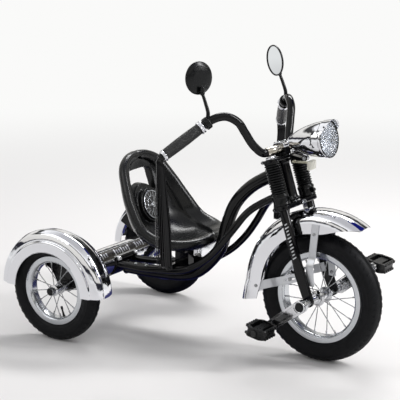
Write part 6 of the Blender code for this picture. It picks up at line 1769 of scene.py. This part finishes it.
# The fasteners of one side, each as body, shape, finish, frame, point, aim and radius
ACROSS, UP, AHEAD, BACK = (0, 1, 0), (0, 0, 1), (1, 0, 0), (-1, 0, 0)
CAP_TOP = BAR_HIGH + 0.0154
FASTENERS = [("frame", "dome", "zinc", TRIKE, (x, BEAM_HALF + GAP + PLATE_T, z), ACROSS, 0.0042)
             for x, z in ((-0.010, 0.200), (0.020, 0.202), (-0.020, 0.235), (0.013, 0.245))]
FASTENERS += [("frame", "dome", "zinc", AXLE, (x, TRACK - 0.0420, z), (0, -1, 0), 0.0034)
              for x, z in ((-0.052, 0.118), (0.0, 0.1285), (0.034, 0.124))]
FASTENERS += [
    ("fork", "dome", "zinc", UPRIGHT, (-0.1568, 0.0427, 0.0101), ACROSS, 0.0042),
    ("fork", "nut", "zinc", UPRIGHT, (-0.0594, 0.0478, 0.0443), ACROSS, 0.0052),
    ("fork", "dome", "zinc", UPRIGHT, (-0.0020, 0.0520, 0.0480), (0, -1, 0), 0.0046),
    ("fork", "dome", "zinc", UPRIGHT, (0.0005, 0.0453, 0.1620), ACROSS, 0.0040),
    ("front_wheel", "nut", "zinc", UPRIGHT, (0, 0.0660, 0), ACROSS, 0.0100),
    ("fork", "acorn", "zinc", FORK, (-0.0128, 0.0630, 0.3405), BACK, 0.0045),
    ("fork", "acorn", "plastic", FORK, (LEG_X + 0.0202, 0.0540, 0.2455), AHEAD, 0.0062),
    ("fork", "nut", "plastic", FORK, (-0.0130, 0.0630, 0.2254), BACK, 0.0052),
    ("fork", "dome", "zinc", FORK, (STEM_X - 0.0095, 0.0080, CAP_TOP), UP, 0.0034),
    ("fork", "dome", "zinc", FORK, (STEM_X + 0.0085, 0.0080, CAP_TOP), UP, 0.0034),
    ("fork", "nut", "chrome", FORK, (0.0, 0.0330, 0.3446), UP, 0.0058),
    ("frame", "acorn", "chrome", BEAM, (0.0372, 0.0360, 0.0110), (0.96, 0, 0.28), 0.0068),
    ("frame", "dome", "zinc", TRIKE, (0.2200, 0.0250, 0.2331), (0.02, 0, 1), 0.0055),
    ("frame", "dome", "zinc", TRIKE, (0.098, 0.0385, 0.1618), UP, 0.0050),
    ("frame", "dome", "zinc", TRIKE, (0.136, 0.0455, 0.1652), UP, 0.0050),
    ("fork", "nut", "zinc", Matrix.Translation(LAMP_PIVOT), (0, 0.0055, 0), ACROSS, 0.0050),
]
TONGUE_NUT = ("fork", "nut", "zinc", FORK, (LEG_X + 0.0237, 0.0, 0.2270), AHEAD, 0.0046)


def fastener_list():
    """Both sides' fasteners and the nut on the fender's tongue, as body, shape, finish, point, aim
    and radius."""
    rows = [(side, row) for _, side in SIDES for row in FASTENERS] + [(1, TONGUE_NUT)]
    found = []
    for side, (body, shape, finish, place, (x, y, z), (ahead, across, up), size) in rows:
        aim = place.to_3x3() @ Vector((ahead, side * across, up))
        found.append((body, shape, finish, place @ Vector((x, side * y, z)), aim, size))
    return found


def build_fasteners(sizes):
    tree = scatter_tree()
    shapes = {key: linked("fastener_" + key, bm) for key, bm in fastener_shapes().items()}
    groups = {}
    for body, shape, finish, at, aim, size in fastener_list():
        groups.setdefault((body, shape, finish), []).append((at, aim.normalized(), size))
    for (body, shape, finish), members in sorted(groups.items()):
        base = bmesh.new()
        aims = base.verts.layers.float_vector.new("aim")
        scales = base.verts.layers.float.new("size")
        for at, aim, size in members:
            vertex = base.verts.new(at)
            vertex[aims] = aim
            vertex[scales] = size
        grown("bolts_{}_{}_{}".format(body, shape, finish), tree, {"Shape": shapes[shape]}, finish, body,
              base=base)
    dropped(*shapes.values())


# Stage

# What shiny surfaces reflect, by the height of the ray: floor, a dark skirting, a warm low wall, a
# dark gap and a bright ceiling. Each tone has its height, colour and strength.
STUDIO_TONES = ((0.0, "#E7E7E7", 1.0), (0.05, "#272731", 1.0), (0.14, "#313139", 1.0),
                (0.19, "#EAE7E2", 1.0), (0.42, "#FDFBF5", 1.0), (0.50, "#3F3F3F", 1.0),
                (0.58, "#4B4B4B", 1.0), (0.66, "#FFFFFF", 1.25), (0.95, "#CBCBCE", 1.0))
# Two round patches of blue cloth in the studio, by the direction they lie in
BLUE_AIMS = ((0.20, 0.58, 0.79), (0.85, 0.30, 0.43))
BLUE_EDGE = (0.95, 0.97)
BLUE = "#141A70"
# The cloth that the lights fall on, and the soft light that matt surfaces get
FLOOR_CLOTH = "#E3E1E0"
SOFT_LIGHT = "#FCFDFF"
SOFT_POWER = 0.56
# The blue card on the floor: where it lies, from and to in x, y and z, and its colour
CARD = (-0.55, 0.20, -0.05, 0.42, 0.0010, 0.0020)
CARD_BLUE = "#10145A"
# The radii between which the floor fades into the background
FLOOR_FADE = (0.9, 3.2)
# What the lights point at, and where the camera stands, from the tricycle's rear axle
LIGHT_AIM = Vector((0.0, 0.0, 0.25))
CAMERA_AT = Vector((2.3528, -3.216, 1.2887))
CAMERA_RIGHT, CAMERA_UP, CAMERA_BACK = ((0.8374, 0.5465, 0.0095), (-0.1384, 0.1953, 0.9709),
                                        (0.5287, -0.8144, 0.2392))


def emptied(owner):
    """The node tree of a material or world, with no nodes left in it."""
    owner.use_nodes = True
    owner.node_tree.nodes.clear()
    return owner.node_tree


def smooth_step(tree, value, edges):
    return add_node(tree, "ShaderNodeMapRange", {"interpolation_type": "SMOOTHSTEP"},
                    {"Value": value, "From Min": edges[0], "From Max": edges[1]})


def build_floor(rgb):
    """A matt floor that fades into the plain background."""
    floor = linked("floor", revolve([(0, -0.02), (9.0, -0.02), (9.0, 0.0), (0, 0.0)], 96))
    material = bpy.data.materials.new("matt studio floor")
    tree = emptied(material)
    where = add_node(tree, "ShaderNodeTexCoord", output="Object")
    far = add_node(tree, "ShaderNodeVectorMath", {"operation": "LENGTH"}, {0: where}, "Value")
    fade = smooth_step(tree, far, FLOOR_FADE)
    cloth = add_node(tree, "ShaderNodeBsdfDiffuse", {}, {"Color": linear(FLOOR_CLOTH) + (1.0,)})
    glow = add_node(tree, "ShaderNodeEmission", {}, {"Color": rgb, "Strength": 1.0})
    mixed = add_node(tree, "ShaderNodeMixShader", {}, {0: fade, 1: cloth, 2: glow})
    add_node(tree, "ShaderNodeOutputMaterial", {}, {"Surface": mixed})
    floor.data.materials.append(material)
    floor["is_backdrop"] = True


def studio_colour(tree):
    """The studio's tones with the blue patches over them."""
    aim = add_node(tree, "ShaderNodeTexCoord", output="Generated")
    height = add_node(tree, "ShaderNodeSeparateXYZ", {}, {0: aim}, "Z")
    ramp = add_node(tree, "ShaderNodeValToRGB", {}, {0: height}, "Color")
    stops = ramp.node.color_ramp.elements
    stops[1].position = STUDIO_TONES[-1][0]
    for position, code, strength in STUDIO_TONES:
        ends = [stop for stop in stops if abs(stop.position - position) < 1e-6]
        stop = ends[0] if ends else stops.new(position)
        stop.color = tuple(strength * part for part in linear(code)) + (1.0,)
    high, low = [vector_calc(tree, "DOT_PRODUCT", aim, direction, "Value") for direction in BLUE_AIMS]
    blue = smooth_step(tree, calc(tree, "MAXIMUM", high, low), BLUE_EDGE)
    return add_node(tree, "ShaderNodeMix", {"data_type": "RGBA"},
                    {"Factor": blue, "A": ramp, "B": linear(BLUE) + (1.0,)}, "Result")


def build_world(rgb):
    """A plain background for the camera, a studio for reflections and soft light for the rest."""
    world = bpy.context.scene.world or bpy.data.worlds.new("studio")
    bpy.context.scene.world = world
    tree = emptied(world)
    ray, shiny, clear = [add_node(tree, "ShaderNodeLightPath", output=kind)
                         for kind in ("Is Camera Ray", "Is Glossy Ray", "Is Transmission Ray")]
    seen = calc(tree, "MAXIMUM", ray, clear)
    studio = add_node(tree, "ShaderNodeBackground", {}, {"Color": studio_colour(tree), "Strength": 1.0})
    soft = add_node(tree, "ShaderNodeBackground", {},
                    {"Color": linear(SOFT_LIGHT) + (1.0,), "Strength": SOFT_POWER})
    plain = add_node(tree, "ShaderNodeBackground", {}, {"Color": rgb, "Strength": 1.0})
    lit = add_node(tree, "ShaderNodeMixShader", {}, {0: shiny, 1: soft, 2: studio})
    whole = add_node(tree, "ShaderNodeMixShader", {}, {0: seen, 1: lit, 2: plain})
    add_node(tree, "ShaderNodeOutputWorld", {}, {"Surface": whole})


def build_lights(settings):
    lamps = (("key", settings.key, 0.35, 1.5, (1.9, 0.7, 1.7)),
             ("back", settings.key * 0.9, 1.5, 0.4, (-0.5, 1.5, 2.3)),
             ("fill", settings.fill, 1.6, 1.2, (-1.4, -1.9, 1.9)))
    for name, watts, wide, tall, at in lamps:
        light = bpy.data.lights.new(name, "AREA")
        light.shape = "RECTANGLE"
        light.energy = watts
        light.size = wide
        light.size_y = tall
        obj = bpy.data.objects.new(name, light)
        bpy.context.scene.collection.objects.link(obj)
        aimed = (LIGHT_AIM - Vector(at)).to_track_quat("-Z", "Y").to_matrix().to_4x4()
        obj.matrix_world = Matrix.Translation(at) @ aimed


def build_card():
    """A blue card on the floor that only reflections see."""
    card = linked("blue_card", box(*CARD))
    felt = bpy.data.materials.new("dark blue felt")
    felt.use_nodes = True
    shader = felt.node_tree.nodes["Principled BSDF"]
    shader.inputs["Base Color"].default_value = linear(CARD_BLUE) + (1.0,)
    shader.inputs["Roughness"].default_value = 0.9
    card.data.materials.append(felt)
    card.visible_camera = False
    card.visible_shadow = False
    card.visible_diffuse = False
    card.visible_transmission = False
    card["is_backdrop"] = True


def build_camera(settings):
    camera = bpy.data.cameras.new("camera")
    camera.lens = settings.lens
    camera.sensor_width = 36.0
    view = bpy.data.objects.new("camera", camera)
    bpy.context.scene.collection.objects.link(view)
    aimed = Matrix((CAMERA_RIGHT, CAMERA_UP, CAMERA_BACK)).transposed().to_4x4()
    view.matrix_world = Matrix.Translation(TRIKE @ CAMERA_AT) @ aimed
    bpy.context.scene.camera = view
    bpy.context.scene.view_settings.view_transform = "Standard"


def build_stage(settings, colours):
    rgb = tuple(colours.floor) + (1.0,)
    build_floor(rgb)
    build_world(rgb)
    build_lights(settings)
    build_card()
    build_camera(settings)


# Operators

class TrikeOperator:
    """Runs one builder on the sizes in the sidebar."""
    bl_options = {"REGISTER", "UNDO"}
    builder = None

    def execute(self, context):
        type(self).builder(context.scene.trike_sizes)
        return {"FINISHED"}


class TRIKE_OT_finishes(bpy.types.Operator):
    """Mix every finish from the colours in the sidebar"""
    bl_idname = "trike.finishes"
    bl_label = "Finishes"

    def execute(self, context):
        mix_finishes()
        return {"FINISHED"}


class TRIKE_OT_tyres(TrikeOperator, bpy.types.Operator):
    """Three tyres with round shoulders and lugs"""
    bl_idname = "trike.tyres"
    bl_label = "Tyres"
    builder = build_tyres


class TRIKE_OT_rims(TrikeOperator, bpy.types.Operator):
    """Rolled rims and their valves"""
    bl_idname = "trike.rims"
    bl_label = "Rims"
    builder = build_rims


class TRIKE_OT_hubs(TrikeOperator, bpy.types.Operator):
    """Hubs with spokes and nipples"""
    bl_idname = "trike.hubs"
    bl_label = "Hubs and spokes"
    builder = build_hubs


class TRIKE_OT_tubes(TrikeOperator, bpy.types.Operator):
    """Swept frame tubes and the head"""
    bl_idname = "trike.tubes"
    bl_label = "Frame tubes"
    builder = build_frame_tubes


class TRIKE_OT_beam(TrikeOperator, bpy.types.Operator):
    """Chrome rear beam with its saddle and printed band"""
    bl_idname = "trike.beam"
    bl_label = "Rear beam"
    builder = build_beam


class TRIKE_OT_axle(TrikeOperator, bpy.types.Operator):
    """Rear axle and its end caps"""
    bl_idname = "trike.axle"
    bl_label = "Rear axle"
    builder = build_axle


class TRIKE_OT_plates(TrikeOperator, bpy.types.Operator):
    """Stamped plates between beam and fenders"""
    bl_idname = "trike.plates"
    bl_label = "Fender plates"
    builder = build_plates


class TRIKE_OT_rear_fenders(TrikeOperator, bpy.types.Operator):
    """Chrome rear fenders with a stepped skirt"""
    bl_idname = "trike.rear_fenders"
    bl_label = "Rear fenders"
    builder = build_rear_fenders


class TRIKE_OT_seat(TrikeOperator, bpy.types.Operator):
    """Moulded bucket seat, its badge and bracket"""
    bl_idname = "trike.seat"
    bl_label = "Seat"
    builder = build_seat


class TRIKE_OT_fork(TrikeOperator, bpy.types.Operator):
    """Crowns, legs, gaiters and steerer"""
    bl_idname = "trike.fork"
    bl_label = "Fork"
    builder = build_fork


class TRIKE_OT_stem(TrikeOperator, bpy.types.Operator):
    """Stem block and bar clamp"""
    bl_idname = "trike.stem"
    bl_label = "Stem"
    builder = build_stem


class TRIKE_OT_bars(TrikeOperator, bpy.types.Operator):
    """Handlebar, grips and grip rings"""
    bl_idname = "trike.bars"
    bl_label = "Handlebar"
    builder = build_bars


class TRIKE_OT_tassels(TrikeOperator, bpy.types.Operator):
    """Vinyl ribbons that hang from the grips"""
    bl_idname = "trike.tassels"
    bl_label = "Tassels"
    builder = build_tassels


class TRIKE_OT_mirrors(TrikeOperator, bpy.types.Operator):
    """Round mirrors on bent stems"""
    bl_idname = "trike.mirrors"
    bl_label = "Mirrors"
    builder = build_mirrors


class TRIKE_OT_lamp(TrikeOperator, bpy.types.Operator):
    """Chrome headlight with a visor and pressed lens"""
    bl_idname = "trike.lamp"
    bl_label = "Headlight"
    builder = build_lamp


class TRIKE_OT_bracket(TrikeOperator, bpy.types.Operator):
    """Lamp bracket and front reflector"""
    bl_idname = "trike.bracket"
    bl_label = "Lamp bracket"
    builder = build_lamp_bracket


class TRIKE_OT_front_fender(TrikeOperator, bpy.types.Operator):
    """Front fender with a pointed tip"""
    bl_idname = "trike.front_fender"
    bl_label = "Front fender"
    builder = build_front_fender


class TRIKE_OT_stays(TrikeOperator, bpy.types.Operator):
    """Flat stays between fender and fork"""
    bl_idname = "trike.stays"
    bl_label = "Fender stays"
    builder = build_stays


class TRIKE_OT_cranks(TrikeOperator, bpy.types.Operator):
    """Channelled cranks and pedal pins"""
    bl_idname = "trike.cranks"
    bl_label = "Cranks"
    builder = build_cranks


class TRIKE_OT_pedals(TrikeOperator, bpy.types.Operator):
    """Open pedals with ribbed treads"""
    bl_idname = "trike.pedals"
    bl_label = "Pedals"
    builder = build_pedals


class TRIKE_OT_fasteners(TrikeOperator, bpy.types.Operator):
    """Bolts, nuts and domed caps"""
    bl_idname = "trike.fasteners"
    bl_label = "Fasteners"
    builder = build_fasteners


class TRIKE_OT_stage(bpy.types.Operator):
    """Floor, light and camera"""
    bl_idname = "trike.stage"
    bl_label = "Stage"

    def execute(self, context):
        build_stage(context.scene.trike_stage, context.scene.trike_colours)
        return {"FINISHED"}


OPERATORS = (TRIKE_OT_finishes, TRIKE_OT_stage, TRIKE_OT_tyres, TRIKE_OT_rims, TRIKE_OT_hubs,
             TRIKE_OT_tubes, TRIKE_OT_beam, TRIKE_OT_axle, TRIKE_OT_plates, TRIKE_OT_rear_fenders,
             TRIKE_OT_seat, TRIKE_OT_fork, TRIKE_OT_stem, TRIKE_OT_bars, TRIKE_OT_tassels,
             TRIKE_OT_mirrors, TRIKE_OT_lamp, TRIKE_OT_bracket, TRIKE_OT_front_fender,
             TRIKE_OT_stays, TRIKE_OT_cranks, TRIKE_OT_pedals, TRIKE_OT_fasteners)


class TRIKE_PT_panel(bpy.types.Panel):
    """Builders and settings of the tricycle"""
    bl_label = "Tricycle"
    bl_idname = "TRIKE_PT_panel"
    bl_space_type = "VIEW_3D"
    bl_region_type = "UI"
    bl_category = "Tricycle"

    def draw(self, context):
        for group in ("trike_sizes", "trike_colours", "trike_stage"):
            settings = getattr(context.scene, group)
            for name in settings.__annotations__:
                self.layout.prop(settings, name)
        for operator in OPERATORS:
            self.layout.operator(operator.bl_idname)


CLASSES = (TrikeColours, TrikeSizes, TrikeStage) + OPERATORS + (TRIKE_PT_panel,)


def register():
    for cls in CLASSES:
        bpy.utils.register_class(cls)
    bpy.types.Scene.trike_colours = bpy.props.PointerProperty(type=TrikeColours)
    bpy.types.Scene.trike_sizes = bpy.props.PointerProperty(type=TrikeSizes)
    bpy.types.Scene.trike_stage = bpy.props.PointerProperty(type=TrikeStage)


def unregister():
    del bpy.types.Scene.trike_stage
    del bpy.types.Scene.trike_sizes
    del bpy.types.Scene.trike_colours
    for cls in reversed(CLASSES):
        bpy.utils.unregister_class(cls)


def corners(bounds):
    return [[float(value) for value in corner] for corner in bounds]


def main():
    register()
    for operator in OPERATORS:
        group, name = operator.bl_idname.split(".")
        getattr(getattr(bpy.ops, group), name)()
    {"cad": corners(CAD_BOX), "visual": corners(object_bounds())}


if __name__ == "__main__":
    main()
